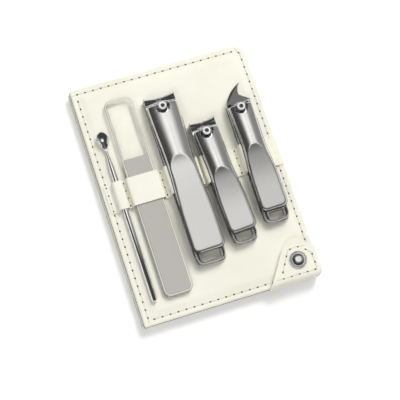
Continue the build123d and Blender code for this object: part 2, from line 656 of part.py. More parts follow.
def lip_top(clipper, edge_y, edge_z, top, lip_z):
    """Upper side of a straight jaw: hollow hook, rounded lip and front face."""
    hook_y = clipper.jaw_y - JAW_HOOK_LENGTH
    lip_y = clipper.jaw_y - JAW_LIP_LENGTH
    nose_z = lip_z - JAW_LIP_FALL
    return [
        Line((edge_y, edge_z), (clipper.jaw_y, nose_z)),
        ThreePointArc(
            (clipper.jaw_y, nose_z), (clipper.jaw_y - JAW_LIP_BULGE_Y, lip_z - JAW_LIP_BULGE_Z), (lip_y, lip_z)),
        ThreePointArc(
            (lip_y, lip_z), ((lip_y + hook_y) / 2, (lip_z + top) / 2 - JAW_HOOK_SAG), (hook_y, top)),
        Line((hook_y, top), (clipper.rear_y, top)),
    ]


def beak_top(clipper, edge_y, edge_z, top):
    """Upper side of the beak: a short ramp behind the shoulder, then a fall to the thin tip."""
    ramp_y = clipper.pin_y + BEAK_RAMP_OFFSET
    ridge_z = top + BEAK_RIDGE
    return [
        Line((edge_y, edge_z), (clipper.jaw_y, edge_z + BEAK_TIP_T)),
        Line((clipper.jaw_y, edge_z + BEAK_TIP_T), (BEAK_SHOULDER_Y, ridge_z)),
        ThreePointArc(
            (BEAK_SHOULDER_Y, ridge_z),
            ((BEAK_SHOULDER_Y + ramp_y) / 2, (ridge_z + top) / 2 - BEAK_RAMP_SAG),
            (ramp_y, top)),
        Line((ramp_y, top), (clipper.rear_y, top)),
    ]


def beak_bevel(clipper):
    """Wedge that grinds the beak down from its shoulder line towards its back edge."""
    shoulder = Vector(-clipper.jaw_width / 2, BEAK_SHOULDER_Y)
    along = Vector(BEAK_NOTCH_X, BEAK_NOTCH_Y) - shoulder
    start = Vector(clipper.axis_x + shoulder.X, shoulder.Y, UPPER_ARM_TOP + BEAK_RIDGE)
    reach = 2 * clipper.jaw_width
    wedge = Pos(0, reach / 2, reach / 2) * Box(2 * reach, reach, reach)
    return Plane(origin=start, x_dir=along, z_dir=(0, 0, 1)) * (Rot(-BEAK_BEVEL_ANGLE, 0, 0) * wedge)


def rear_rivet(clipper):
    """Rivet at the loop end, flush at both faces, with the collar that keeps the arms apart."""
    y = clipper.rear_y + RIVET_OFFSET
    collar_top = UPPER_ARM_BOTTOM - RIVET_PLAY
    shank = upright(clipper.axis_x, y, RIVET_RADIUS, TOOL_BOTTOM + RIVET_FIT, UPPER_ARM_TOP - RIVET_FIT)
    return shank + upright(clipper.axis_x, y, RIVET_COLLAR_RADIUS, TOOL_BOTTOM + LOWER_ARM_T, collar_top)


def pin(clipper):
    """Pin through both arms: sunk foot, ring head, and a notch at the front for the lever's bar."""
    low = TOOL_BOTTOM + PIN_FOOT_LIFT
    high = TOOL_BOTTOM + PIN_TOP_HEIGHT
    shank = upright(clipper.axis_x, clipper.pin_y, PIN_RADIUS, low, high)
    shank = chamfer(shank.edges().sort_by(Axis.Z)[-1], PIN_CHAMFER)
    shank += upright(clipper.axis_x, clipper.pin_y, PIN_FOOT_RADIUS, low, low + PIN_FOOT_T)
    shank -= upright(clipper.axis_x, clipper.pin_y, PIN_EYE_RADIUS, high - PIN_EYE_DEPTH, high)
    notch_radius = CROSSBAR_RADIUS + CROSSBAR_FIT
    bar_y = clipper.pin_y + CROSSBAR_OFFSET
    left = clipper.axis_x - PIN_RADIUS
    right = clipper.axis_x + PIN_RADIUS
    notch = crosswise(Pos(bar_y, CROSSBAR_Z) * Circle(notch_radius), left, right)
    mouth = block(left, right, bar_y, bar_y + PIN_RADIUS, CROSSBAR_Z - notch_radius, CROSSBAR_Z + notch_radius)
    return shank - notch - mouth


def lever_plan(clipper, inset):
    """Plan of a lever: rounded rear, waisted sides, square front; inset draws it in all round."""
    rear = clipper.lever_rear_width / 2 - inset
    waist = clipper.lever_waist_width / 2 - inset
    front = clipper.lever_front_width / 2 - inset
    rear_y = clipper.lever_rear_y + inset
    straight_y = clipper.lever_rear_y + LEVER_STRAIGHT
    front_y = clipper.pin_y + LEVER_FRONT_OFFSET - inset
    sides = []
    for hand in (-1, 1):
        sides.append(Line((hand * rear, rear_y), (hand * rear, straight_y)))
        sides.append(Spline(
            (hand * rear, straight_y), (hand * waist, clipper.lever_waist_y), (hand * front, front_y),
            tangents=[(0, 1), (0, 1)]))
    ends = [Line((-rear, rear_y), (rear, rear_y)), Line((-front, front_y), (front, front_y))]
    plan = make_face(sides + ends)
    plan = fillet(plan.vertices().sort_by(Axis.Y)[:2], max(LEVER_CORNER_RADIUS - inset, FOLD_CORNER_RADIUS))
    return Pos(clipper.axis_x, 0) * plan


def lever(clipper):
    """Pressed lever: crowned across, scooped for the thumb, hollow below, hung on its crossbar."""
    half = clipper.lever_rear_width / 2
    side_z = LEVER_TOP - clipper.lever_crown
    rear_y = clipper.lever_rear_y
    front_y = clipper.pin_y + LEVER_NOSE_RADIUS
    crown = [
        Line((-half, side_z), (-half, LEVER_BOTTOM)),
        Line((-half, LEVER_BOTTOM), (half, LEVER_BOTTOM)),
        Line((half, LEVER_BOTTOM), (half, side_z)),
        ThreePointArc((half, side_z), (0, LEVER_TOP), (-half, side_z)),
    ]
    shell = lengthwise(Pos(clipper.axis_x, 0) * make_face(crown), rear_y, front_y)
    seat_z = LEVER_TOP - clipper.scoop_depth
    brow_y = clipper.scoop_y - SCOOP_BROW_LENGTH
    brow_z = LEVER_TOP - clipper.scoop_depth * SCOOP_BROW_DEPTH
    lip = LEVER_REAR_ROLL
    side = [
        Line((front_y, LEVER_BOTTOM), (rear_y, LEVER_BOTTOM)),
        Line((rear_y, LEVER_BOTTOM), (rear_y, seat_z - lip)),
        JernArc((rear_y, seat_z - lip), (0, 1), lip, -90),
        Line((rear_y + lip, seat_z), (brow_y, brow_z)),
        ThreePointArc(
            (brow_y, brow_z),
            (clipper.scoop_y - SCOOP_BROW_BEND_Y, LEVER_TOP - clipper.scoop_depth * SCOOP_BROW_BEND_DEPTH),
            (clipper.scoop_y, LEVER_TOP)),
        Line((clipper.scoop_y, LEVER_TOP), (front_y, LEVER_TOP)),
        Line((front_y, LEVER_TOP), (front_y, LEVER_BOTTOM)),
    ]
    shell = shell & crosswise(make_face(side), clipper.axis_x - half, clipper.axis_x + half)
    shell = shell & slab(lever_plan(clipper, 0), LEVER_BOTTOM, LEVER_TOP)
    hollow = slab(lever_plan(clipper, LEVER_WALL), LEVER_BOTTOM, LEVER_BOTTOM + LEVER_HOLLOW)
    shell -= hollow & block(
        clipper.axis_x - half, clipper.axis_x + half, rear_y, clipper.pin_y - LEVER_SOLID_HEAD,
        LEVER_BOTTOM, LEVER_BOTTOM + LEVER_HOLLOW)
    nose_top = TOOL_BOTTOM + LEVER_NOSE_HEIGHT
    nose = upright(clipper.axis_x, clipper.pin_y, LEVER_NOSE_RADIUS, LEVER_BOTTOM, nose_top)
    well_y = clipper.pin_y - LEVER_WELL_SHIFT
    well = upright(clipper.axis_x, well_y, LEVER_WELL_RADIUS, LEVER_BOTTOM, LEVER_TOP)
    throat_half = LEVER_THROAT_HALF_WIDTH
    throat = block(
        clipper.axis_x - throat_half, clipper.axis_x + throat_half,
        clipper.pin_y, clipper.pin_y + LEVER_NOSE_RADIUS, LEVER_BOTTOM, LEVER_TOP)
    bar_half = LEVER_WELL_RADIUS + LEVER_BAR_OVERHANG
    bar = crosswise(
        Pos(clipper.pin_y + CROSSBAR_OFFSET, CROSSBAR_Z) * Circle(CROSSBAR_RADIUS),
        clipper.axis_x - bar_half, clipper.axis_x + bar_half)
    return (shell + nose - well - throat) + bar


def lengthwise(profile, foot, head):
    """End profile, drawn as (X, Z), stretched along the case from foot to head."""
    return extrude(Plane.XZ.offset(-head) * profile, amount=head - foot)


def turned(clipper, piece):
    """Piece of a clipper, turned about its pin to the slant at which it lies in the case."""
    pin_place = Pos(clipper.axis_x, clipper.pin_y)
    return pin_place * Rot(0, 0, clipper.turn) * pin_place.inverse() * piece


def case_pieces():
    """Every piece of the folding case."""
    lower_strip = COVER_TOP + SPINE_SKIN_CLEARANCE
    upper_strip = lower_strip + SPINE_T + SPINE_STRIP_CLEARANCE
    return {
        "panel_back": panel_back(),
        "panel_board": panel_board(),
        "panel_foam": panel_foam(),
        "panel_face": panel_face(),
        "tool_strap": tool_strap(),
        "tab_root": tab_root(),
        "snap_tab": snap_tab(),
        "snap_cap": snap_cap(),
        "snap_socket": snap_socket(),
        "snap_stud": snap_stud(),
        "snap_rivet": snap_rivet(),
        "spine_upper_strip": spine_strip(FOLD_X, SPINE_HINGE_SETBACK, upper_strip),
        "spine_lower_strip": spine_strip(COVER_FOLD_X, SPINE_HINGE_SETBACK, lower_strip),
        "cover_skin": cover_skin(),
        "cover_board": cover_board(),
        "cover_lining": cover_lining(),
    }


def tool_pieces():
    """Every piece of the tools."""
    pieces = {"glass_file": glass_file(), "ear_pick": ear_pick()}
    for clipper in CLIPPERS:
        for make in (lower_arm, upper_arm, rear_rivet, pin, lever):
            pieces[clipper.name + "_" + make.__name__] = turned(clipper, make(clipper))
    return pieces


os.makedirs("parts", exist_ok=True)
for name, shape in {**case_pieces(), **tool_pieces()}.items():
    export_step(shape, "parts/" + name + ".step")
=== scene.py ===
"""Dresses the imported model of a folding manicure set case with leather, thread, steel and glass."""

from math import atan2, cos, exp, hypot, pi, radians, sin, sqrt

import bmesh
import bpy
from mathutils import Matrix, Vector, noise


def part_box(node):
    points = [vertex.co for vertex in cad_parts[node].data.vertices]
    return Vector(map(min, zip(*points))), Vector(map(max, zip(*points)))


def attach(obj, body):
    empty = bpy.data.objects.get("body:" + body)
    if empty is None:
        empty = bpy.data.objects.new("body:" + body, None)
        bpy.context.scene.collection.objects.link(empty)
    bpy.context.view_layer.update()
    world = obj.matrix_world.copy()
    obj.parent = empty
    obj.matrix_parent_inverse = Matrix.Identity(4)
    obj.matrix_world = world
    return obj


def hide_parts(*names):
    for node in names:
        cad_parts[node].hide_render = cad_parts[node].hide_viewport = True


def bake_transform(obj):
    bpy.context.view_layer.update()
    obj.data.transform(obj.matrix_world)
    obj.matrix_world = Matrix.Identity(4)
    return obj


bl_info = {
    "name": "Manicure set case",
    "version": (1, 0, 0),
    "blender": (4, 5, 0),
    "location": "View3D > Sidebar > Manicure case",
    "description": "Dresses the packed model of a folding manicure set case",
    "category": "Object",
}

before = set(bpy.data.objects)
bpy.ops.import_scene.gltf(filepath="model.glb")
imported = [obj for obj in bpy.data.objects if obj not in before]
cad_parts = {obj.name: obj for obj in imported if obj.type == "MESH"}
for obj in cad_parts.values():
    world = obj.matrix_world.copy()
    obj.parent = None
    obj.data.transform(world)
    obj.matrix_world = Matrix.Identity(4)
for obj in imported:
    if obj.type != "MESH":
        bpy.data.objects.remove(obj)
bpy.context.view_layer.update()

# Meshes are drawn in millimetres and brought to metres when they are finished
MM = 0.001


def node_box(name):
    """Lowest and highest corner of a CAD node, in millimetres."""
    low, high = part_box(name)
    return low / MM, high / MM


LEAF_LOW, LEAF_HIGH = node_box("panel_face")
BACK_LOW, BACK_HIGH = node_box("panel_back")
FOAM_LOW, FOAM_HIGH = node_box("panel_foam")
COVER_LOW, COVER_HIGH = node_box("cover_skin")
LINING_LOW, LINING_HIGH = node_box("cover_lining")
UPPER_STRIP_LOW, UPPER_STRIP_HIGH = node_box("spine_upper_strip")
LOWER_STRIP_LOW, LOWER_STRIP_HIGH = node_box("spine_lower_strip")
STRAP_LOW, STRAP_HIGH = node_box("tool_strap")
TAB_LOW, TAB_HIGH = node_box("snap_tab")
TAB_ROOT_LOW, TAB_ROOT_HIGH = node_box("tab_root")
CAP_LOW, CAP_HIGH = node_box("snap_cap")
FILE_LOW, FILE_HIGH = node_box("glass_file")
PICK_LOW, PICK_HIGH = node_box("ear_pick")


# Settings
def colour_field(name, description, default):
    """Setting for a colour."""
    return bpy.props.FloatVectorProperty(
        name=name, description=description, subtype="COLOR", size=3, min=0, max=1, default=default)


def size_field(name, description, default):
    """Setting for a size in millimetres."""
    return bpy.props.FloatProperty(name=name, description=description + ", in millimetres", default=default)


def length_field(name, description, default):
    """Setting for a length in metres."""
    return bpy.props.FloatProperty(
        name=name, description=description, subtype="DISTANCE", unit="LENGTH", default=default)


def angle_field(name, description, degrees):
    """Setting for an angle."""
    return bpy.props.FloatProperty(
        name=name, description=description, subtype="ANGLE", unit="ROTATION", default=radians(degrees))


def level_field(name, description, default):
    """Setting for a plain number."""
    return bpy.props.FloatProperty(name=name, description=description, default=default)


class CaseLeather(bpy.types.PropertyGroup):
    """Sizes and colours of the leather case."""
    ivory: colour_field("Ivory", "Colour of the leather", (0.87, 0.862, 0.765))
    shade: colour_field("Shade", "Colour in the pores and along the folds", (0.76, 0.73, 0.60))
    grain: length_field("Grain", "Size of the leather's grain", 0.0007)
    cell: size_field("Mesh cell", "Cell of the fine leather meshes", 0.55)
    margin_t: size_field("Margin", "Height of the sewn margin above the back skin", 1.9)
    pad_start: size_field("Pad start", "Distance from the edge where the pad begins to rise", 2.9)
    pad_full: size_field("Pad full", "Distance from the edge where the pad is level", 6.5)
    free_radius: size_field("Free corners", "Radius of the corners at the free edge", 5.0)
    fold_radius: size_field("Fold corners", "Radius of the corners at the fold", 0.8)


class CaseThread(bpy.types.PropertyGroup):
    """Sizes and colours of the stitching."""
    cream: colour_field("Cream", "Colour of the thread", (0.78, 0.76, 0.66))
    hole: colour_field("Hole", "Colour inside the needle holes", (0.035, 0.035, 0.022))
    pitch: size_field("Pitch", "Distance from one needle hole to the next", 3.65)
    hole_length: size_field("Hole length", "Length of a needle hole", 1.2)
    hole_width: size_field("Hole width", "Width of a needle hole", 0.7)
    thread_radius: size_field("Thread radius", "Half the thickness of the thread", 0.24)
    seam_inset: size_field("Seam inset", "Distance from the edge of the leaf to its seam", 2.5)


class CaseSteel(bpy.types.PropertyGroup):
    """Colours of the steel and glass."""
    satin: colour_field("Satin", "Colour of the brushed levers", (0.72, 0.71, 0.69))
    mirror: colour_field("Mirror", "Colour of the plated arms and pins", (0.82, 0.82, 0.81))
    grit: colour_field("Grit", "Colour of the etched glass", (0.50, 0.485, 0.455))


class CaseStage(bpy.types.PropertyGroup):
    """Camera and light."""
    lens: level_field("Lens", "Focal length of the camera", 130.0)
    distance: length_field("Distance", "Distance from the camera to the case", 0.6413)
    tilt: angle_field("Tilt", "Lean of the camera towards the foot", 12.0)
    swing: angle_field("Swing", "Lean of the camera towards the fold", 10.0)
    roll: angle_field("Roll", "Turn of the camera about its own line", -18.62)
    offset_x: size_field("Offset across", "Sideways place of the camera", 1.72)
    offset_y: size_field("Offset up", "Upward place of the camera", -8.51)
    sky: level_field("Soft light", "Strength of the large soft light above", 1.65)
    room: level_field("Room", "Strength of the dim room around it", 0.06)


def settings(name):
    """One group of settings, read from the scene."""
    return getattr(bpy.context.scene, "case_" + name)


# Materials
def new_material(name):
    """Empty node material with its shader and tree."""
    material = bpy.data.materials.new(name)
    material.use_nodes = True
    tree = material.node_tree
    return material, tree, tree.nodes["Principled BSDF"]


def feed(tree, node, sockets):
    """Gives sockets their values: a link from another node's socket, or a plain value."""
    for socket, value in sockets.items():
        if isinstance(value, bpy.types.NodeSocket):
            tree.links.new(value, node.inputs[socket])
        else:
            node.inputs[socket].default_value = value


def add_node(tree, kind, values=(), **options):
    """Node of a kind with its options and the values of its sockets."""
    node = tree.nodes.new("ShaderNode" + kind)
    for option, value in options.items():
        setattr(node, option, value)
    feed(tree, node, dict(values))
    return node


def object_point(tree, stretch=(1, 1, 1)):
    """Object coordinates, stretched along each axis."""
    place = add_node(tree, "TexCoord").outputs["Object"]
    return add_node(tree, "Mapping", {"Vector": place, "Scale": stretch}).outputs["Vector"]


def axis_values(tree, output="Object"):
    """The three coordinates of a place, each as a value."""
    place = add_node(tree, "TexCoord").outputs[output]
    return add_node(tree, "SeparateXYZ", {"Vector": place}).outputs


def noise_node(tree, point, scale, detail=3, roughness=0.5):
    """Cloudy noise at a scale of cells per metre."""
    return add_node(tree, "TexNoise", {
        "Vector": point, "Scale": scale, "Detail": detail, "Roughness": roughness}).outputs["Fac"]


def calculate(tree, operation, first, second=0):
    """Result of a sum on two values."""
    return add_node(tree, "Math", {0: first, 1: second}, operation=operation).outputs["Value"]


def remap(tree, value, low, high, to_low=0, to_high=1, kind="LINEAR"):
    """Value brought from one range to another."""
    return add_node(tree, "MapRange", {
        "Value": value, "From Min": low, "From Max": high, "To Min": to_low, "To Max": to_high},
        interpolation_type=kind).outputs["Result"]


def step_node(tree, value, low, high, to_low=0, to_high=1):
    """Smooth change of a value between two levels."""
    return remap(tree, value, low, high, to_low, to_high, "SMOOTHSTEP")


def scaled(colour, share):
    """Colour made darker or lighter by a share."""
    return tuple(part * share for part in colour)


def blend_colours(tree, share, first, second):
    """Mix of two colours by a share."""
    node = add_node(tree, "Mix", {"Factor": share}, data_type="RGBA")
    for socket, colour in (("A", first), ("B", second)):
        target = [s for s in node.inputs if s.name == socket and s.type == "RGBA"][0]
        if isinstance(colour, bpy.types.NodeSocket):
            tree.links.new(colour, target)
        else:
            target.default_value = (*colour, 1)
    return [s for s in node.outputs if s.type == "RGBA"][0]


def bump(tree, shader, height, strength, distance, before=None):
    """Relief from a height value; before is the relief that it is laid over."""
    node = add_node(tree, "Bump", {"Height": height, "Strength": strength, "Distance": distance})
    if before:
        tree.links.new(before, node.inputs["Normal"])
    tree.links.new(node.outputs["Normal"], shader.inputs["Normal"])
    return node.outputs["Normal"]


def leather_material(name, ivory, shade, grain):
    """Smooth faux leather: fine pebble grain, faint creases and a soft gloss."""
    material, tree, shader = new_material(name)
    point = object_point(tree)
    pebble = add_node(
        tree, "TexVoronoi", {"Vector": point, "Scale": 1 / grain, "Randomness": 0.9},
        feature="SMOOTH_F1").outputs["Distance"]
    cloud = noise_node(tree, point, 45, 4)
    crease = noise_node(tree, object_point(tree, (1, 1.6, 1)), 260, 5, 0.6)
    tinted = blend_colours(tree, remap(tree, cloud, 0.35, 0.72, 0.0, 0.38), ivory, shade)
    pores = remap(tree, pebble, 0.45, 0.85, 0.0, 0.25)
    relief = bump(tree, shader, crease, 0.16, 0.0002)
    bump(tree, shader, pebble, 0.10, 0.00008, relief)
    feed(tree, shader, {
        "Base Color": blend_colours(tree, pores, tinted, shade),
        "Roughness": remap(tree, crease, 0.3, 0.7, 0.40, 0.54),
        "Sheen Weight": 0.08, "Sheen Roughness": 0.4, "Specular IOR Level": 0.42})
    return material


def raw_edge_material(name, colour):
    """Cut edge, card or wadding: fine fibrous noise."""
    material, tree, shader = new_material(name)
    fibre = noise_node(tree, object_point(tree, (1, 1, 3)), 2200, 5, 0.7)
    bump(tree, shader, fibre, 0.5, 0.0001)
    feed(tree, shader, {
        "Base Color": blend_colours(tree, fibre, scaled(colour, 0.72), colour), "Roughness": 0.9})
    return material


def thread_material(name, cream):
    """Twisted sewing thread."""
    material, tree, shader = new_material(name)
    twist = add_node(
        tree, "TexWave", {"Vector": object_point(tree), "Scale": 900, "Distortion": 1.2},
        wave_type="BANDS", bands_direction="DIAGONAL").outputs["Fac"]
    bump(tree, shader, twist, 0.5, 0.0001)
    feed(tree, shader, {
        "Base Color": blend_colours(tree, twist, scaled(cream, 0.8), cream),
        "Roughness": 0.6, "Sheen Weight": 0.2})
    return material


def hole_material(name, dark):
    """Shadowed inside of a hole."""
    material, tree, shader = new_material(name)
    wall = noise_node(tree, object_point(tree), 3000, 3)
    feed(tree, shader, {
        "Base Color": blend_colours(tree, wall, dark, scaled(dark, 2.2)),
        "Roughness": 0.95, "Specular IOR Level": 0.1})
    return material


# Stretch of the noise that draws brushed hairlines, and the radius that the shading gives stamped edges
HAIRLINES = (2600, 40, 600)
STAMPED_EDGE = 0.35


def satin_material(name, colour, low=0.20, high=0.26):
    """Finely brushed steel: long hairlines, soft patches and a satin reflection."""
    material, tree, shader = new_material(name)
    hairlines = noise_node(tree, object_point(tree, HAIRLINES), 1, 2, 0.6)
    patches = noise_node(tree, object_point(tree), 90, 3)
    bump(tree, shader, hairlines, 0.04, 0.00001)
    feed(tree, shader, {
        "Base Color": blend_colours(tree, hairlines, scaled(colour, 0.93), colour),
        "Roughness": remap(tree, patches, 0.3, 0.7, low, high), "Metallic": 1})
    return material


def mirror_material(name, colour, low=0.05, high=0.13, stamped=True):
    """Plated steel with faint handling marks; stamped steel has its edges rounded in the shading."""
    material, tree, shader = new_material(name)
    smear = noise_node(tree, object_point(tree, (1, 0.4, 1)), 420, 5, 0.65)
    if stamped:
        scratches = noise_node(tree, object_point(tree, (900, 4000, 900)), 1, 2)
        edges = add_node(tree, "Bevel", {"Radius": STAMPED_EDGE * MM}, samples=12)
        bump(tree, shader, scratches, 0.02, 0.00001, edges.outputs["Normal"])
    feed(tree, shader, {
        "Base Color": blend_colours(tree, smear, colour, scaled(colour, 0.9)),
        "Roughness": remap(tree, smear, 0.4, 0.75, low, high), "Metallic": 1})
    return material


# Thumb recesses, whose steel carries painted shade for the reflection of the curving floor: the steel's share
# at the barrel and at the loop end, and where the change begins behind the pin; it runs over the same length in
# each
RECESS_PAINTED_SHADES = {"large": (0.82, 0.98, 22.0), "small": (0.42, 0.96, 16.0), "slanted": (0.34, 0.86, 16.5)}
RECESS_FADE = 21.0


def recess_material(name, steel):
    """Ground thumb recess: satin steel, glossier where it leaves the barrel and darker there by painted shade,
    which gives way to a lighter tone towards the loop end.
    """
    material, tree, shader = new_material(name + "_ground_steel_painted_shade")
    first, last, behind = RECESS_PAINTED_SHADES[name]
    start = node_box(name + "_pin")[0].y - behind
    # Painted shade: the steel's share runs from its dark value at the barrel to its light value at the loop end
    run = step_node(tree, axis_values(tree)["Y"], start * MM, (start - RECESS_FADE) * MM)
    hairlines = noise_node(tree, object_point(tree, HAIRLINES), 1, 2, 0.6)
    lit_end_hairlines = blend_colours(tree, hairlines, scaled(steel, last * 0.93), scaled(steel, last))
    bump(tree, shader, hairlines, 0.04, 0.00001)
    feed(tree, shader, {
        "Base Color": blend_colours(tree, run, scaled(steel, first), lit_end_hairlines),
        "Roughness": remap(tree, run, 0, 1, 0.24, 0.34), "Metallic": 1})
    return material


# Etched area of the file: its head line, half its width and the softness of its edge
GRIT_HEAD_Y = 17.3
GRIT_HALF = 5.5
GRIT_SOFT = 0.05
CLEAR_GLASS = (0.985, 0.985, 0.96)


def file_material(name, grit):
    """Clear glass at the head and etched grey glass below, divided across the file."""
    material, tree, shader = new_material(name)
    axes = axis_values(tree)
    middle = (FILE_LOW.x + FILE_HIGH.x) / 2 * MM
    across = calculate(tree, "ABSOLUTE", calculate(tree, "SUBTRACT", axes["X"], middle))
    below, inside = (
        remap(tree, value, (edge + GRIT_SOFT) * MM, (edge - GRIT_SOFT) * MM)
        for value, edge in ((axes["Y"], GRIT_HEAD_Y), (across, GRIT_HALF)))
    etched = calculate(tree, "MULTIPLY", below, inside)
    speckle = noise_node(tree, object_point(tree), 5200, 4, 0.7)
    grit_colour = blend_colours(tree, speckle, scaled(grit, 0.85), grit)
    bump(tree, shader, calculate(tree, "MULTIPLY", speckle, etched), 0.35, 0.00008)
    feed(tree, shader, {
        "Base Color": blend_colours(tree, etched, CLEAR_GLASS, grit_colour),
        "Roughness": remap(tree, etched, 0, 1, 0.02, 0.62),
        "Transmission Weight": remap(tree, etched, 0, 1, 1.0, 0.0),
        "Alpha": remap(tree, etched, 0, 1, 0.3, 1.0), "IOR": 1.5})
    return material


def painted_glass_edge_material(name, colour):
    """Edge band of the glass in one colour with a faint haze: painted shade where the colour is dark, painted
    highlight where it is pale.
    """
    material, tree, shader = new_material(name)
    haze = noise_node(tree, object_point(tree), 900, 3)
    feed(tree, shader, {
        "Base Color": blend_colours(tree, haze, scaled(colour, 0.88), colour),
        "Roughness": remap(tree, haze, 0.3, 0.7, 0.12, 0.22), "IOR": 1.5})
    return material


def finishes():
    """Every material of the case, made once."""
    made = getattr(finishes, "made", None)
    if made is None:
        leather = settings("leather")
        thread = settings("thread")
        steel = settings("steel")
        ivory, shade = tuple(leather.ivory), tuple(leather.shade)
        satin, mirror = tuple(steel.satin), tuple(steel.mirror)
        made = {
            "leather": leather_material("ivory_leather", ivory, shade, leather.grain),
            "lining": leather_material("lining_leather", scaled(ivory, 0.97), shade, leather.grain * 0.7),
            "foam": raw_edge_material("wadding", (0.85, 0.82, 0.72)),
            "card": raw_edge_material("grey_card", (0.46, 0.42, 0.36)),
            "thread": thread_material("cream_thread", tuple(thread.cream)),
            "hole": hole_material("needle_hole", tuple(thread.hole)),
            "satin": satin_material("satin_steel", satin),
            # Beak: a darker copy of the lever steel, painted shade on the beak's upward faces
            "beak": satin_material("beak_steel_painted_shade", scaled(satin, 0.4), 0.16, 0.22),
            "rolled": mirror_material("rolled_chrome", mirror, 0.012, 0.035, stamped=False),
            # Drilled: near-black painted shade inside the pins' drilled eyes
            "drilled": hole_material("pin_eye_painted_shade", (0.05, 0.05, 0.05)),
            # Near-black painted shade for the upright edges of the leaf and the outside of the spine fold
            "edge_dye": raw_edge_material("painted_edge_shade", (0.085, 0.08, 0.065)),
            "mirror": mirror_material("mirror_chrome", mirror),
            "pin": mirror_material("pin_chrome", mirror, 0.24, 0.34),
            "snap": mirror_material("snap_steel", scaled(mirror, 0.86), 0.16, 0.24),
            "file": file_material("file_glass", tuple(steel.grit)),
            # Dark edge lines of painted shade and a pale bevel of painted highlight round the glass file
            "glass_line": painted_glass_edge_material("glass_line", (0.40, 0.40, 0.36)),
            "glass_bevel": painted_glass_edge_material("glass_bevel", (0.86, 0.86, 0.80)),
        }
        # One recess steel for each clipper, each with its own painted shade
        for name in RECESS_PAINTED_SHADES:
            made[name + "_recess"] = recess_material(name, satin)
        finishes.made = made
    return made


# Meshes
def smooth_step(low, high, value):
    """Share from 0 to 1 that eases in and out between two values."""
    share = min(1.0, max(0.0, (value - low) / (high - low)))
    return share * share * (3 - 2 * share)


def made_points(made):
    """The points among what an operator has made."""
    return [item for item in made["geom"] if isinstance(item, bmesh.types.BMVert)]


def made_edges(made):
    """The edges among what an operator has made."""
    return [item for item in made["geom"] if isinstance(item, bmesh.types.BMEdge)]


def open_edges(edges):
    """Those of some edges that bound only one face."""
    return [edge for edge in edges if edge.is_boundary]


def hard_edges(bm, degrees):
    """Edges at which a mesh bends by more than an angle."""
    return [edge for edge in bm.edges if edge.calc_face_angle(0) > radians(degrees)]


def soften(bm, geom, offset, segments=3, affect="EDGES"):
    """Rounds edges or corner points."""
    bmesh.ops.bevel(
        bm, geom=geom, offset=offset, segments=segments, profile=0.5, affect=affect, material=-1,
        clamp_overlap=True)


def face_up(bm):
    """Turns the faces of a sheet one way, with most of it facing upwards."""
    bmesh.ops.recalc_face_normals(bm, faces=bm.faces)
    if sum(face.normal.z * face.calc_area() for face in bm.faces) < 0:
        bmesh.ops.reverse_faces(bm, faces=bm.faces)


def sheet(rows):
    """Sheet of cells between rows of points."""
    bm = bmesh.new()
    lines = [[bm.verts.new(point) for point in row] for row in rows]
    for below, above in zip(lines, lines[1:]):
        for column in range(len(below) - 1):
            bm.faces.new((below[column], below[column + 1], above[column + 1], above[column]))
    return bm


def turned(points, centre, axis, steps, softened=0):
    """Body turned about an axis from a line of points, the first edges of which are softened."""
    bm = bmesh.new()
    verts = [bm.verts.new(point) for point in points]
    edges = [bm.edges.new(pair) for pair in zip(verts, verts[1:])]
    if softened:
        bmesh.ops.subdivide_edges(bm, edges=edges[:softened], cuts=1, smooth=1)
    bmesh.ops.spin(
        bm, geom=[*bm.verts, *bm.edges], cent=centre, axis=axis, angle=2 * pi, steps=steps, use_merge=True)
    bmesh.ops.remove_doubles(bm, verts=bm.verts, dist=0.002)
    bmesh.ops.recalc_face_normals(bm, faces=bm.faces)
    return bm


def join(bm, other, slot=0):
    """Adds a mesh to another, with the finish of a slot."""
    shape = bpy.data.meshes.new("joined_shape")
    for face in other.faces:
        face.material_index = slot
    other.to_mesh(shape)
    other.free()
    bm.from_mesh(shape)
    bpy.data.meshes.remove(shape)


def finish_piece(bm, name, finish, body, replaces=(), sharp=40, more=()):
    """Makes an object in metres from a mesh drawn in millimetres, and lets it ride on a body."""
    bmesh.ops.scale(bm, vec=(MM, MM, MM), verts=bm.verts)
    mesh = bpy.data.meshes.new(name)
    bm.to_mesh(mesh)
    bm.free()
    mesh.materials.append(finishes()[finish])
    mesh.shade_smooth()
    mesh.set_sharp_from_angle(angle=radians(sharp))
    piece = bpy.data.objects.new(name, mesh)
    bpy.context.scene.collection.objects.link(piece)
    if body:
        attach(piece, body)
    if replaces:
        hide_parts(*replaces)
    for other in more:
        mesh.materials.append(finishes()[other])
    return piece


def leather_piece(bm, name, body, nodes, sharp=40):
    """Piece in the leather of the case."""
    return finish_piece(bm, name, "leather", body, nodes, sharp)


def second_finish(piece, finish, chosen):
    """Gives a second finish to the faces of a piece that a test picks."""
    piece.data.materials.append(finishes()[finish])
    slot = len(piece.data.materials) - 1
    for face in piece.data.polygons:
        if chosen(face):
            face.material_index = slot


def paint_side_shade(piece):
    """Paints shade on the upright cut edges of a leather piece: its side faces take a near-black finish."""
    second_finish(piece, "edge_dye", lambda side: abs(side.normal.z) < 0.3)


def pull_in(to_side, to_end, radius):
    """Distances from a point to its two edges once the corner is round, and its distance to the outline."""
    if to_side >= radius or to_end >= radius:
        return to_side, to_end, min(to_side, to_end)
    across = radius - to_side
    along = radius - to_end
    reach = max(across, along)
    pull = reach / max(hypot(across, along), 1e-9)
    return radius - across * pull, radius - along * pull, radius - reach


def round_corner(point, low, high, leather):
    """Moves a point of a square leaf into the round-cornered leaf; gives its distance to the edge."""
    free = high.x - point.x < point.x - low.x
    upper = high.y - point.y < point.y - low.y
    to_side = high.x - point.x if free else point.x - low.x
    to_end = high.y - point.y if upper else point.y - low.y
    to_side, to_end, distance = pull_in(
        to_side, to_end, leather.free_radius if free else leather.fold_radius)
    point.x = high.x - to_side if free else low.x + to_side
    point.y = high.y - to_end if upper else low.y + to_end
    return distance


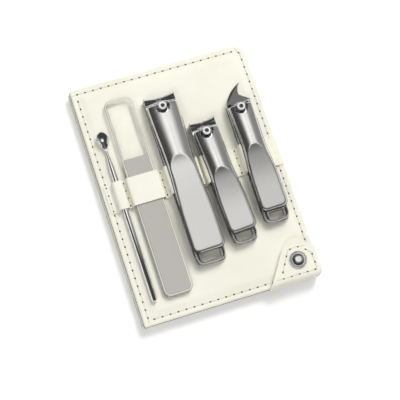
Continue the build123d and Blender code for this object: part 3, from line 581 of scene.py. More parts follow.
def leaf_sheet(low, high, height_at):
    """Closed leather body of a leaf: a fine grid on top, shaped by height_at, and a flat underside."""
    leather = settings("leather")
    bm = bmesh.new()
    size = high - low
    bmesh.ops.create_grid(
        bm, x_segments=round(size.x / leather.cell), y_segments=round(size.y / leather.cell), size=0.5)
    bmesh.ops.scale(bm, vec=(size.x, size.y, 1), verts=bm.verts)
    bmesh.ops.translate(bm, vec=((low.x + high.x) / 2, (low.y + high.y) / 2, 0), verts=bm.verts)
    for vertex in bm.verts:
        distance = round_corner(vertex.co, low, high, leather)
        vertex.co.z = height_at(vertex.co.x, vertex.co.y, distance)
    made = bmesh.ops.extrude_edge_only(bm, edges=open_edges(bm.edges))
    for vertex in made_points(made):
        vertex.co.z = low.z
    bmesh.ops.contextual_create(bm, geom=open_edges(made_edges(made)))
    bmesh.ops.recalc_face_normals(bm, faces=bm.faces)
    return bm


def rolled_edge(distance, radius, depth=None):
    """How far a turned edge lies below the sheet, at a distance from it; a flat one is wider than deep."""
    if distance >= radius:
        return 0.0
    drop = radius - sqrt(max(0.0, radius * radius - (radius - distance) ** 2))
    return drop if depth is None else drop * depth / radius


def seam_groove(distance, half, depth):
    """Depth of the groove that a seam pulls into the leather, at a distance from the leaf's edge."""
    away = (distance - settings("thread").seam_inset) / half
    return depth * exp(-away * away)


# Leather face: its inset at the fold and its turned edge, how the strap's seams pull in the pad
# across and along them, and the slow wave of the pad
FACE_INSET = 0.1
FACE_ROLL = 0.55
STRAP_SEAMS_X = (-37.6, -31.3, -14.3, 3.1, 20.6, 37.4)
PULL_ACROSS = 1.1
PULL_ALONG = 3.0
PULL_DEPTH = 0.32
WAVE_DEPTH = 0.05
WAVE_LENGTH = 17


def face_height(x, y, distance):
    """Height of the leather face: turned edge, flat sewn margin, pad with soft shoulders and seam pulls."""
    leather = settings("leather")
    margin_top = LEAF_LOW.z + leather.margin_t
    z = margin_top - rolled_edge(distance, FACE_ROLL) - seam_groove(distance, 0.55, 0.13)
    z += (LEAF_HIGH.z - margin_top) * smooth_step(leather.pad_start, leather.pad_full, distance)
    if distance > leather.pad_full - 1:
        reach = max(0.0, STRAP_LOW.y - y, y - STRAP_HIGH.y) / PULL_ALONG
        for seam_x in STRAP_SEAMS_X:
            near = (x - seam_x) / PULL_ACROSS
            z -= PULL_DEPTH * exp(-near * near - reach * reach)
        z -= WAVE_DEPTH * (1 + noise.noise(Vector((x / WAVE_LENGTH, y / WAVE_LENGTH, 3))))
    return z


def cover_height(x, y, distance):
    """Height of the cover's outer skin: turned edge and a shallow seam groove."""
    wave = 0.03 * (noise.noise(Vector((x / 19, y / 19, 8))) - 1)
    return COVER_HIGH.z - rolled_edge(distance, 0.5) - seam_groove(distance, 0.5, 0.1) + wave


def plate(low, high, free_radius, fold_radius, edge=0):
    """Flat plate with round corners and softened edges."""
    bm = bmesh.new()
    corners = (low.x, low.y), (high.x, low.y), (high.x, high.y), (low.x, high.y)
    bm.faces.new([bm.verts.new((x, y, low.z)) for x, y in corners])
    middle = (low.x + high.x) / 2
    free = [vertex for vertex in bm.verts if vertex.co.x > middle]
    fold = [vertex for vertex in bm.verts if vertex.co.x < middle]
    soften(bm, free, free_radius, 8, "VERTICES")
    soften(bm, fold, fold_radius, 8, "VERTICES")
    made = bmesh.ops.extrude_face_region(bm, geom=bm.faces[:])
    bmesh.ops.translate(bm, vec=(0, 0, high.z - low.z), verts=made_points(made))
    bmesh.ops.recalc_face_normals(bm, faces=bm.faces)
    if edge:
        soften(bm, [rim for rim in bm.edges if abs(rim.verts[0].co.z - rim.verts[1].co.z) < 1e-6], edge)
    return bm


SPINE_T = 0.6


def bend_band(hinge_x, low, high, side, upper_tail, lower_tail):
    """Leather folded back on itself about a line along Y; side is -1 where the bend shows at the left."""
    bm = bmesh.new()
    foot = COVER_LOW.y
    head = COVER_HIGH.y
    inner = high - SPINE_T
    start = (foot, high), (head, high), (head, inner), (foot, inner)
    first = bm.faces.new([bm.verts.new((hinge_x, y, z)) for y, z in start])
    made = bmesh.ops.spin(
        bm, geom=[first, *first.edges, *first.verts], cent=(hinge_x, 0, (low + high) / 2), axis=(0, 1, 0),
        angle=pi * side, steps=12, use_merge=False)
    last = [item for item in made["geom_last"] if isinstance(item, bmesh.types.BMFace)]
    for face, tail in ((first, upper_tail), (last[0], lower_tail)):
        grown = bmesh.ops.extrude_face_region(bm, geom=[face])
        bmesh.ops.translate(bm, vec=(-side * tail, 0, 0), verts=made_points(grown))
        bmesh.ops.delete(bm, geom=[face], context="FACES_ONLY")
    bmesh.ops.remove_doubles(bm, verts=bm.verts, dist=0.001)
    bmesh.ops.recalc_face_normals(bm, faces=bm.faces)
    return bm


def stamped_mesh(node):
    """Merged copy of a steel CAD node, in millimetres."""
    bm = bmesh.new()
    bm.from_mesh(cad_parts[node].data)
    bmesh.ops.scale(bm, vec=(1 / MM, 1 / MM, 1 / MM), verts=bm.verts)
    bmesh.ops.remove_doubles(bm, verts=bm.verts, dist=0.004)
    return bm


def polished_copy(node, body, finish, edge=0):
    """Steel part with clean flats and softened edges, made from a copy of its CAD node."""
    bm = stamped_mesh(node)
    bmesh.ops.dissolve_limit(
        bm, angle_limit=radians(1.2), use_dissolve_boundaries=False, verts=bm.verts, edges=bm.edges,
        delimit={"NORMAL"})
    if edge:
        soften(bm, hard_edges(bm, 32), edge, 1)
    return finish_piece(bm, node + "_polished", finish, body, [node], sharp=24)


# Stitching
def walk(points, pitch, closed):
    """Places and headings at an even pitch along a line of points."""
    line = [Vector(p) for p in points]
    if closed:
        line.append(line[0])
    lengths = [(b - a).length for a, b in zip(line, line[1:])]
    total = sum(lengths)
    count = round(total / pitch)
    step = total / count
    stops = []
    index = 0
    passed = 0.0
    for number in range(count if closed else count + 1):
        target = min(number * step, total - 1e-6)
        while passed + lengths[index] < target:
            passed += lengths[index]
            index += 1
        a, b = line[index], line[index + 1]
        stops.append((a.lerp(b, (target - passed) / lengths[index]), (b - a).normalized()))
    return stops


def rounded_ring(corners, segments=8):
    """Points round a polygon whose corners, given as (x, y, radius), are drawn round."""
    points = []
    for number, (x, y, radius) in enumerate(corners):
        here = Vector((x, y))
        before = (Vector(corners[number - 1][:2]) - here).normalized()
        after = (Vector(corners[(number + 1) % len(corners)][:2]) - here).normalized()
        half = before.angle(after) / 2
        reach = radius * cos(half) / sin(half)
        first = here + before * reach
        last = here + after * reach
        for part in range(segments + 1):
            share = part / segments
            away = first.lerp(here, share)
            home = here.lerp(last, share)
            points.append(tuple(away.lerp(home, share)))
    return points


def leaf_ring(left, right, foot, head):
    """Line of the seam round a leaf."""
    soft = settings("leather").free_radius - settings("thread").seam_inset + 0.6
    return rounded_ring([(left, head, 0.6), (left, foot, 0.6), (right, foot, soft), (right, head, soft)])


def stitch_rows(name, rows, height, body, closed=True):
    """Rows of needle holes and the thread between them, at a height on a surface."""
    thread = settings("thread")
    holes = bmesh.new()
    threads = bmesh.new()
    hole_size = Matrix.Diagonal((thread.hole_length, thread.hole_width, 0.14, 1))
    length = thread.pitch - 0.35 * thread.hole_length
    thread_size = Matrix.Diagonal((length, 2 * thread.thread_radius, 0.34, 1))
    shift = Matrix.Translation((thread.pitch / 2, 0, 0))
    for row in rows:
        stops = walk(row, thread.pitch, closed)
        for number, (place, heading) in enumerate(stops):
            turn = Matrix.Rotation(atan2(heading.y, heading.x), 4, "Z")
            seat = Matrix.Translation((place.x, place.y, height)) @ turn
            made = bmesh.ops.create_uvsphere(holes, u_segments=12, v_segments=6, radius=0.5)
            bmesh.ops.transform(holes, matrix=seat @ hole_size, verts=made["verts"])
            if closed or number < len(stops) - 1:
                made = bmesh.ops.create_uvsphere(threads, u_segments=10, v_segments=8, radius=0.5)
                bmesh.ops.transform(threads, matrix=seat @ shift @ thread_size, verts=made["verts"])
    finish_piece(holes, name + "_holes", "hole", body)
    finish_piece(threads, name + "_thread", "thread", body)


class CASE_OT_leaf(bpy.types.Operator):
    """Leather face, wadding and back skin of the tool leaf"""
    bl_idname = "case.leaf"
    bl_label = "Tool leaf"

    def execute(self, context):
        leather = settings("leather")
        low = Vector((BACK_LOW.x + FACE_INSET, LEAF_LOW.y, LEAF_LOW.z))
        face = leather_piece(leaf_sheet(low, LEAF_HIGH, face_height), "leaf_face", "tool_leaf", ["panel_face"])
        # The leaf's upright sides take painted shade
        paint_side_shade(face)
        bm = plate(FOAM_LOW, FOAM_HIGH - Vector((0, 0, 0.25)), 1.4, 0.8, 0.2)
        foam = finish_piece(bm, "leaf_wadding", "foam", "tool_leaf", ["panel_foam"])
        bm = plate(BACK_LOW, BACK_HIGH, leather.free_radius, leather.fold_radius, 0.22)
        paint_side_shade(leather_piece(bm, "leaf_back", "tool_leaf", ["panel_back"]))
        return {"FINISHED"}


class CASE_OT_cover(bpy.types.Operator):
    """Outer skin and lining of the cover"""
    bl_idname = "case.cover"
    bl_label = "Cover"

    def execute(self, context):
        leather = settings("leather")
        low = Vector((LINING_LOW.x, COVER_LOW.y, COVER_LOW.z))
        leather_piece(leaf_sheet(low, COVER_HIGH, cover_height), "cover_leather", "cover", ["cover_skin"])
        bm = plate(LINING_LOW, LINING_HIGH, leather.free_radius, leather.fold_radius, 0.2)
        finish_piece(bm, "cover_inside", "lining", "cover", ["cover_lining"])
        return {"FINISHED"}


def spine_fold(bm, name, nodes):
    """One fold of the spine, drawn folded from one height to the next; it rides on no body."""
    piece = leather_piece(bm, name, None, nodes)
    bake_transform(piece)
    return piece


class CASE_OT_spine(bpy.types.Operator):
    """Folded leather spine between the tool leaf and the cover"""
    bl_idname = "case.spine"
    bl_label = "Spine"

    def execute(self, context):
        fold_x = BACK_LOW.x
        crease_x = UPPER_STRIP_HIGH.x
        cover_x = COVER_LOW.x
        piece = spine_fold(
            bend_band(fold_x, UPPER_STRIP_LOW.z, BACK_HIGH.z, -1, 0.8, crease_x - fold_x),
            "spine_top_fold", ["spine_upper_strip"])
        # The fold's outward faces at the left take the near-black edge finish: painted shade along the fold
        second_finish(piece, "edge_dye", lambda side: side.normal.x < -0.9)
        spine_fold(
            bend_band(crease_x, LOWER_STRIP_LOW.z, UPPER_STRIP_HIGH.z, 1, 1.2, 1.2),
            "spine_crease", ())
        tail = LOWER_STRIP_HIGH.x - cover_x
        spine_fold(
            bend_band(cover_x, COVER_HIGH.z - SPINE_T, LOWER_STRIP_HIGH.z, -1, tail, 1.5),
            "spine_low_fold", ["spine_lower_strip"])
        return {"FINISHED"}


# Strap: rises over each tool and is sewn down between them
STRAP_T = 0.6
STRAP_GROUND = 0.05
STRAP_OVER = 0.28
STRAP_MARGIN = 3.4
STRAP_ROWS = 16
# Tools under the strap: the gap at their sides and their top there
ARM_TOP = 12.35
STRAP_TOOLS = (
    ("ear_pick", 0.35, 10.05), ("glass_file", 0.35, FILE_HIGH.z), ("large_upper_arm", 0.35, ARM_TOP),
    ("small_upper_arm", 0.2, ARM_TOP), ("slanted_upper_arm", 0.35, ARM_TOP))


def span_at(mesh, foot, head):
    """Leftmost and rightmost X of a mesh between two Y places, in millimetres."""
    bm = bmesh.new()
    bm.from_mesh(mesh)
    for place, normal in ((foot, (0, -1, 0)), (head, (0, 1, 0))):
        bmesh.ops.bisect_plane(
            bm, geom=[*bm.verts, *bm.edges, *bm.faces], dist=1e-7, plane_co=(0, place * MM, 0),
            plane_no=normal, clear_outer=True)
    places = [vertex.co.x / MM for vertex in bm.verts]
    bm.free()
    return min(places), max(places)


def strap_line():
    """Outer line of the strap as (x, z, corner radius), from its left tail to its right one."""
    ground = LEAF_HIGH.z + STRAP_GROUND + STRAP_T
    margin = LEAF_LOW.z + settings("leather").margin_t + STRAP_T
    line = [(STRAP_LOW.x, margin, 0), (LEAF_LOW.x + STRAP_MARGIN - 1.2, margin, 0.5)]
    for number, (node, gap, top) in enumerate(STRAP_TOOLS):
        left, right = span_at(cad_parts[node].data, STRAP_LOW.y, STRAP_HIGH.y)
        left -= gap + STRAP_T
        right += gap + STRAP_T
        crest = top + STRAP_OVER + STRAP_T
        line.append((left, ground, 0.45) if number else (left - 0.25, ground - 0.3, 0.35))
        line += [(left, crest, 1.25), (right, crest, 1.25), (right, ground, 0.45)]
    pad_end = LEAF_HIGH.x - STRAP_MARGIN
    return [*line, (pad_end, ground, 0.5), (pad_end + 1.0, margin, 0.4), (STRAP_HIGH.x, margin, 0)]


class CASE_OT_strap(bpy.types.Operator):
    """Leather band that holds the tools"""
    bl_idname = "case.strap"
    bl_label = "Tool strap"

    def execute(self, context):
        line = strap_line()
        bm = bmesh.new()
        verts = [bm.verts.new((x, STRAP_LOW.y, z)) for x, z, _ in line]
        for pair in zip(verts, verts[1:]):
            bm.edges.new(pair)
        for vertex, (_, _, radius) in zip(verts, line):
            if radius:
                soften(bm, [vertex], radius, 6, "VERTICES")
        front = bm.edges[:]
        step = (STRAP_HIGH.y - STRAP_LOW.y) / STRAP_ROWS
        for _ in range(STRAP_ROWS):
            made = bmesh.ops.extrude_edge_only(bm, edges=front)
            bmesh.ops.translate(bm, vec=(0, step, 0), verts=made_points(made))
            front = [
                edge for edge in open_edges(made_edges(made))
                if abs(edge.verts[0].co.y - edge.verts[1].co.y) < 1e-6]
        face_up(bm)
        bmesh.ops.solidify(bm, geom=bm.faces[:], thickness=STRAP_T)
        leather_piece(bm, "tool_band", "tool_leaf", ["tool_strap"], sharp=60)
        return {"FINISHED"}


# Tab: root under the leaf, up round the foot and over the corner
TAB_T = 0.7
TAB_TOP = TAB_HIGH.z - 0.02
TAB_OUTER_Y = TAB_LOW.y + 0.5
TAB_BEND = 2.4
TAB_ROOT_BEND = 0.8
TAB_COLUMNS = 28
TAB_LEFT_X = 15.3
TAB_LEFT_SLANT = 0.66
TAB_SHOULDER_Y = -44.4
TAB_SHOULDER_SOFT = 3.4
TAB_SHOULDER_SLANT = 6.1 / 6.4
# Round corners of the tab: how far each stands back at its end, and the length that it takes
TAB_LEFT_HEAD = (3.2, 5.0)
TAB_RIGHT_HEAD = (1.4, 2.0)
TAB_RIGHT_FOOT = (3.2, 3.2)
# Groove beside the tab's turned edge: its depth, its distance from the edge and half its width
TAB_GROOVE = (0.10, 2.7, 0.5)
TAB_SEAM = ((21.3, -54.0, 0.6), (28.4, -42.2, 2.6), (33.6, -42.2, 1.8), (38.1, -46.2, 1.6), (38.1, -54.0, 1.0))


def set_back(distance, corner):
    """How far a round corner stands back from its side, at a distance from its end."""
    depth, length = corner
    return depth * (1 - sqrt(1 - min(1.0, max(0.0, 1 - distance / length)) ** 2))


def tab_sides(y):
    """Left and right side of the tab's plan at a place along Y."""
    to_head = TAB_HIGH.y - y
    to_foot = y - TAB_LOW.y
    left = TAB_LEFT_X + to_foot * TAB_LEFT_SLANT + set_back(to_head, TAB_LEFT_HEAD)
    onset = smooth_step(TAB_SHOULDER_Y, TAB_SHOULDER_Y + TAB_SHOULDER_SOFT, y)
    shoulder = (y - TAB_SHOULDER_Y) * TAB_SHOULDER_SLANT * onset
    right = TAB_HIGH.x - shoulder - set_back(to_head, TAB_RIGHT_HEAD) - set_back(to_foot, TAB_RIGHT_FOOT)
    return left, right


def tab_line():
    """Side view of the tab's skin as (y, z), from its root round the foot to its head."""
    root_y = TAB_ROOT_HIGH.y
    low = TAB_ROOT_LOW.z
    bend_y = TAB_OUTER_Y + TAB_ROOT_BEND
    wall = TAB_TOP - TAB_BEND - low - TAB_ROOT_BEND
    flat_y = TAB_OUTER_Y + TAB_BEND
    line = [(root_y + (bend_y - root_y) * part / 4, low) for part in range(5)]
    for part in range(1, 6):
        turn = radians(90 * part / 5)
        line.append((bend_y - TAB_ROOT_BEND * sin(turn), low + TAB_ROOT_BEND * (1 - cos(turn))))
    line += [(TAB_OUTER_Y, low + TAB_ROOT_BEND + wall * part / 3) for part in range(1, 4)]
    for part in range(1, 13):
        turn = radians(90 * part / 12)
        line.append((flat_y - TAB_BEND * cos(turn), TAB_TOP - TAB_BEND * (1 - sin(turn))))
    return line + [(flat_y + (TAB_HIGH.y - flat_y) * (part / 28) ** 0.85, TAB_TOP) for part in range(1, 29)]


def tab_row(y, z):
    """Points across the tab at one place of its side view."""
    depth, inset, half = TAB_GROOVE
    left, right = tab_sides(max(y, TAB_OUTER_Y))
    row = []
    for column in range(TAB_COLUMNS + 1):
        x = left + (right - left) * column / TAB_COLUMNS
        groove = 0.0
        if z >= TAB_TOP - 1e-6:
            edge = min(x - left, right - x, TAB_HIGH.y - y)
            groove = depth * exp(-((edge - inset) / half) ** 2)
        row.append((x, y, z - groove))
    return row


class CASE_OT_tab(bpy.types.Operator):
    """Closing tab, from its sewn root round the foot of the case to its head"""
    bl_idname = "case.tab"
    bl_label = "Closing tab"

    def execute(self, context):
        bm = sheet([tab_row(y, z) for y, z in tab_line()])
        face_up(bm)
        bmesh.ops.solidify(bm, geom=bm.faces[:], thickness=TAB_T)
        soften(bm, hard_edges(bm, 60), 0.28)
        piece = leather_piece(bm, "closing_tab", None, ["snap_tab", "tab_root"], sharp=60)
        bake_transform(piece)
        return {"FINISHED"}


class CASE_OT_stitching(bpy.types.Operator):
    """Needle holes and thread of every seam"""
    bl_idname = "case.stitching"
    bl_label = "Stitching"

    def execute(self, context):
        inset = settings("thread").seam_inset
        margin = LEAF_LOW.z + settings("leather").margin_t
        ground = LEAF_HIGH.z + STRAP_GROUND + STRAP_T
        left, right = BACK_LOW.x + FACE_INSET + inset, LEAF_HIGH.x - inset
        foot, head = STRAP_LOW.y, STRAP_HIGH.y
        ring = leaf_ring(left, right, LEAF_LOW.y + inset, LEAF_HIGH.y - inset)
        seams = [[(x, foot + 1.2), (x, head - 1.2)] for x in STRAP_SEAMS_X[1:5]]
        tails = [[(x, foot + 1.0), (x, head - 1.0)] for x in (left, right)]
        stitch_rows("leaf_seam", [ring], margin - 0.1, "tool_leaf")
        stitch_rows("tab_seam", [rounded_ring(TAB_SEAM)], TAB_HIGH.z - 0.04, "snap_tab")
        stitch_rows("strap_seam", seams, ground - 0.03, "tool_leaf", closed=False)
        stitch_rows("tail_seam", tails, margin + STRAP_T - 0.03, "tool_leaf", closed=False)
        ring = leaf_ring(
            LINING_LOW.x + inset + 0.5, COVER_HIGH.x - inset, COVER_LOW.y + inset, COVER_HIGH.y - inset)
        stitch_rows("cover_seam", [ring], COVER_HIGH.z - 0.12, "cover")
        stitch_rows("lining_seam", [ring], 0.06, "cover")
        return {"FINISHED"}


class CASE_OT_snap(bpy.types.Operator):
    """Domed cap, socket, stud and rivet of the snap"""
    bl_idname = "case.snap"
    bl_label = "Snap"

    def execute(self, context):
        centre = (CAP_LOW + CAP_HIGH) / 2
        radius = (CAP_HIGH.x - CAP_LOW.x) / 2
        base = TAB_HIGH.z
        top = CAP_HIGH.z
        dome = ((0, top), (0.3, top - 0.07), (0.56, top - 0.33), (0.72, top - 0.72), (0.795, top - 1.12),
                (0.81, base + 0.62), (0.84, base + 0.55), (0.9, base + 0.72), (0.96, base + 0.68),
                (1, base + 0.4), (0.985, base + 0.02))
        line = [(share * radius, z) for share, z in dome]
        line += [(0.9, base), (0.9, CAP_LOW.z), (0, CAP_LOW.z)]
        bm = turned([(centre.x + reach, centre.y, z) for reach, z in line], centre, (0, 0, 1), 56, softened=5)
        finish_piece(bm, "snap_dome", "snap", "snap_tab", ["snap_cap"], sharp=50)
        polished_copy("snap_socket", "snap_tab", "snap", 0.1)
        polished_copy("snap_stud", "tool_leaf", "snap", 0.12)
        polished_copy("snap_rivet", "tool_leaf", "snap", 0.1)
        return {"FINISHED"}


PIN_TURNS = {"large": 0, "small": 2.4, "slanted": 0}
PIN_EYE_RADIUS = 0.9
PIN_EYE_DEPTH = 0.3


def pin_place(name):
    """Middle of a clipper's pin in plan."""
    low, high = node_box(name + "_pin")
    return Vector(((low.x + high.x) / 2, (low.y + high.y) / 2, 0))


def pin_seat(name):
    """Place and turn of a clipper about its pin."""
    return Matrix.Translation(pin_place(name)) @ Matrix.Rotation(radians(PIN_TURNS[name]), 4, "Z")


def shade_pin_eye(piece):
    """Paints shade into the drilled eye in the head of a pin: its inner faces take a near-black finish."""
    places = [vertex.co for vertex in piece.data.vertices]
    top = max(place.z for place in places)
    heads = [place for place in places if place.z > top - 0.2 * MM]
    middle = sum(heads, Vector()) / len(heads)

    def in_eye(face):
        away = (face.center.xy - middle.xy).length
        return away < PIN_EYE_RADIUS * MM and top - 1.0 * MM < face.center.z < top - PIN_EYE_DEPTH * MM / 2

    second_finish(piece, "drilled", in_eye)


# Arms: the stamped spring of the CAD, with its loop end and its jaw drawn with rolled edges
ARM_STEP = 0.5
LOOP_CORNER = 3.6
LOOP_BAR = 1.7
LOOP_ROLL = 0.36
LOOP_FLAT = 0.08
LOOP_FRONT = 0.7
LOOP_OVERLAP = 0.5
LOWER_ARM_T = 1.5
UPPER_ARM_T = 1.4
JAW_CUT = 2.45
JAW_COLUMNS = 20
JAW_ROLL = 0.09
# Side view of a jaw: the distance behind its front, and the height above the arm's underside
JAW_SIDE = ((2.1, 1.9), (1.05, 2.28), (0.95, 2.52), (0.2, 2.59), (0.0, 2.3), (0.25, 0.95))
JAW_ROOT = (1.6, 0.1)
BEAK_START = 3.0


class Arms:
    """Sizes of one clipper's arms, in millimetres from its pin; a beak has no straight jaw."""

    def __init__(self, name, rear, width, slot, jaw=None):
        self.name = name
        self.rear = -rear
        self.half = width / 2
        self.slot_half = slot[0] / 2
        self.slot_length = slot[1]
        self.jaw = jaw
        self.seat = pin_seat(name)
        self.loop_front = self.rear + LOOP_BAR + self.slot_length + LOOP_FRONT


def cut_arm(bm, y, side):
    """Takes away what lies beyond a place along the arm, behind it (side -1) or in front (side 1)."""
    made = bmesh.ops.bisect_plane(
        bm, geom=[*bm.verts, *bm.edges, *bm.faces], dist=1e-4, plane_co=(0, y, 0), plane_no=(0, side, 0),
        clear_outer=True)
    rim = [item for item in made["geom_cut"] if isinstance(item, bmesh.types.BMEdge)]
    bmesh.ops.holes_fill(bm, edges=rim)


def loop_section(low, high):
    """Section of the loop's band: the edge that a point is measured from, how far it is, and its height."""
    arc = [radians(90 * part / 4) for part in range(5)]
    outer = [(0, LOOP_ROLL * (1 - cos(turn)), high - LOOP_ROLL * (1 - sin(turn))) for turn in arc]
    outer.append((0, LOOP_ROLL + LOOP_FLAT, high))
    inner = [(1, across, z) for _, across, z in reversed(outer)]
    return [(0, 0, low), *outer, *inner, (1, 0, low), (0, 0, low)]


def loop_outline(half, rear, front, corner):
    """Line round the loop or its slot, with round corners at the rear."""
    return [Vector(point) for point in rounded_ring([
        (half, front, LOOP_ROLL), (-half, front, LOOP_ROLL), (-half, rear, corner), (half, rear, corner)])]


def loop_end(arms, low, high, inset):
    """Loop end of an arm with its key-ring slot: a band with rolled edges, bent round the slot."""
    slot_rear = arms.rear + LOOP_BAR
    outer = loop_outline(arms.half - inset, arms.rear + inset, arms.loop_front, LOOP_CORNER)
    inner = loop_outline(arms.slot_half, slot_rear, slot_rear + arms.slot_length, arms.slot_length / 3)
    section = loop_section(low, high)
    around = len(outer)
    across = len(section) - 1
    bm = bmesh.new()
    bmesh.ops.create_grid(bm, x_segments=across, y_segments=around, size=0.5)
    for vertex in bm.verts:
        side, distance, z = section[round((vertex.co.x + 0.5) * across)]
        place = round((vertex.co.y + 0.5) * around) % around
        edges = outer[place], inner[place]
        home = edges[side] + (edges[1 - side] - edges[side]).normalized() * distance
        vertex.co = (home.x, home.y, z)
    bmesh.ops.remove_doubles(bm, verts=bm.verts, dist=0.001)
    bmesh.ops.recalc_face_normals(bm, faces=bm.faces)
    return bm


def straight_jaw(arms, low):
    """Jaw along its hollow front: a dark hook, a bright rim and the nose that falls to the cutting edge."""
    width, front, hollow = arms.jaw
    half = width / 2
    onward = width / JAW_COLUMNS

    def reach(x):
        return front - hollow * (1 - (x / half) ** 2) - JAW_CUT

    bm = bmesh.new()
    side = [(front - back, rise) for back, rise in JAW_SIDE]
    side = [(JAW_CUT, JAW_ROOT[0]), *side, (JAW_CUT, JAW_ROOT[1])]
    verts = [bm.verts.new((-half, y, low + rise)) for y, rise in side]
    edges = [bm.edges.new(pair) for pair in zip(verts, verts[1:] + verts[:1])]
    for column in range(JAW_COLUMNS):
        x = -half + width * column / JAW_COLUMNS
        made = bmesh.ops.extrude_edge_only(bm, edges=edges)
        for vertex in made_points(made):
            vertex.co.y = JAW_CUT + (vertex.co.y - JAW_CUT) * reach(x + onward) / reach(x)
            vertex.co.x += onward
        edges = [edge for edge in made_edges(made) if abs(edge.verts[0].co.x - edge.verts[1].co.x) < 1e-6]
    bmesh.ops.holes_fill(bm, edges=open_edges(bm.edges))
    bmesh.ops.recalc_face_normals(bm, faces=bm.faces)
    soften(bm, hard_edges(bm, 30), JAW_ROLL, 2)
    return bm


def arm_piece(arms, level, body, thickness, inset):
    """One arm: the stamped spring cut at its loop and jaw, and the drawn ends joined to it."""
    node = arms.name + "_" + level
    low = node_box(node)[0].z
    bm = stamped_mesh(node)
    bmesh.ops.transform(bm, matrix=arms.seat.inverted(), verts=bm.verts)
    cut_arm(bm, arms.loop_front - LOOP_OVERLAP, -1)
    if level == "upper_arm" and arms.jaw:
        cut_arm(bm, JAW_CUT, 1)
        join(bm, straight_jaw(arms, low), 1)
    elif level == "upper_arm":
        # The beak's upward faces take the darker satin steel: painted shade
        for face in bm.faces:
            if face.calc_center_median().y > BEAK_START and face.normal.z > 0.3:
                face.material_index = 2
    join(bm, loop_end(arms, low, low + thickness, inset), 1)
    bmesh.ops.transform(bm, matrix=arms.seat, verts=bm.verts)
    finish_piece(
        bm, node + "_polished", "mirror", body, [node], sharp=24, more=("rolled", "beak"))


class CASE_OT_clippers(bpy.types.Operator):
    """Arms, pins and rivets of the three clippers"""
    bl_idname = "case.clippers"
    bl_label = "Clippers"

    def execute(self, context):
        clippers = (
            Arms("large", 73.5, 14.1, (9.2, 4.6), (14.1, 6.0, 1.1)),
            Arms("small", 52.6, 12.0, (7.4, 3.8), (11.7, 6.4, 0.9)),
            Arms("slanted", 54.2, 12.2, (7.0, 3.6)))
        for arms in clippers:
            name = arms.name
            body = name + "_clipper"
            arm_piece(arms, "lower_arm", body, LOWER_ARM_T, 0)
            arm_piece(arms, "upper_arm", name + "_upper_arm", UPPER_ARM_T, ARM_STEP)
            polished_copy(name + "_rear_rivet", body, "mirror")
            shade_pin_eye(polished_copy(name + "_pin", body, "pin"))
        return {"FINISHED"}


# Levers: pressed barrels with a ground thumb recess, drawn about their pin and then turned with it
LEVER_CELL = 0.45
LEVER_CROWN = 1.45
LEVER_ROLL = 0.75
LEVER_REAR_SPREAD = 0.85
LEVER_ROLL_SHARE = 0.85
LEVER_WALL = 0.8
LEVER_CORNER = 2.8
LEVER_FRONT_CORNER = 0.9
LEVER_STRAIGHT = 14.0
LEVER_FRONT = 1.3
RECESS_DEPTH = 1.7
RECESS_LEAN = 0.034
RECESS_EDGE = 0.12
FLANGE_OUT = 0.32
FLANGE_HEIGHT = 0.22
WELL_RADIUS = 3.15
WELL_SHIFT = -0.45
THROAT = 2.35
BAR_RADIUS = 0.85
BAR_FORWARD = 1.2
BAR_RISE = 0.9
BAR_HALF = 2.75


class Lever:
    """Sizes of one lever, in millimetres from its pin towards the loop end."""

    def __init__(self, name, rear, waist, front, waist_back, scoop_back, scoop_run):
        low, high = node_box(name + "_lever")
        turn = radians(PIN_TURNS[name])
        self.name = name
        self.seat = pin_seat(name)
        self.bottom = low.z
        self.top = high.z
        self.rear_y = (low.y - pin_place(name).y + 0.5 * rear * sin(turn)) / cos(turn)
        self.rear = rear / 2
        self.waist = waist / 2
        self.front = front / 2
        self.waist_y = -waist_back
        self.scoop_y = -scoop_back
        self.scoop_run = scoop_run

    def half_width(self, y):
        """Half the width of the plan at a place along the lever."""
        narrowing = smooth_step(self.rear_y + LEVER_STRAIGHT, self.waist_y, y)
        widening = smooth_step(self.waist_y, LEVER_FRONT, y)
        return self.rear + (self.waist - self.rear) * narrowing + (self.front - self.waist) * widening

    def barrel(self, x, half):
        """Height of the crowned barrel."""
        return self.top - LEVER_CROWN * (x / half) ** 2

    def floor(self, x, y):
        """Height of the thumb recess, whose floor runs out level and leans to the left."""
        run = max(0.0, self.scoop_y - y)
        return self.top - RECESS_DEPTH * (1 - exp(-run / self.scoop_run)) + RECESS_LEAN * x

    def height(self, x, y, half):
        """Height of the sheet: the barrel, cut with a soft edge by the recess."""
        barrel = self.barrel(x, half)
        if y >= self.scoop_y:
            return barrel
        floor = self.floor(x, y)
        soft = max(0.0, 1 - abs(barrel - floor) / RECESS_EDGE)
        return min(barrel, floor) - soft * soft * RECESS_EDGE / 4

    def roll(self, y, z):
        """Width and depth of the rolled edge beside a point of the sheet."""
        spread = smooth_step(self.scoop_y, self.scoop_y - LEVER_STRAIGHT, y)
        depth = min(LEVER_ROLL, LEVER_ROLL_SHARE * (z - self.bottom - FLANGE_HEIGHT))
        return LEVER_ROLL + LEVER_REAR_SPREAD * spread, depth

    def in_recess(self, face):
        """Whether a finished face belongs to the ground floor of the thumb recess."""
        x, y, z = self.seat.inverted() @ (face.center / MM)
        half = self.half_width(y)
        cut = y < self.scoop_y and self.floor(x, y) < self.barrel(x, half)
        return cut and face.normal.z > 0.9 and z > self.bottom + LEVER_WALL / 2 and half - abs(x) > 0.5

    def in_bar(self, face):
        """Whether a finished face belongs to the crossbar in front of the shell."""
        return (self.seat.inverted() @ (face.center / MM)).y > LEVER_FRONT + 0.05


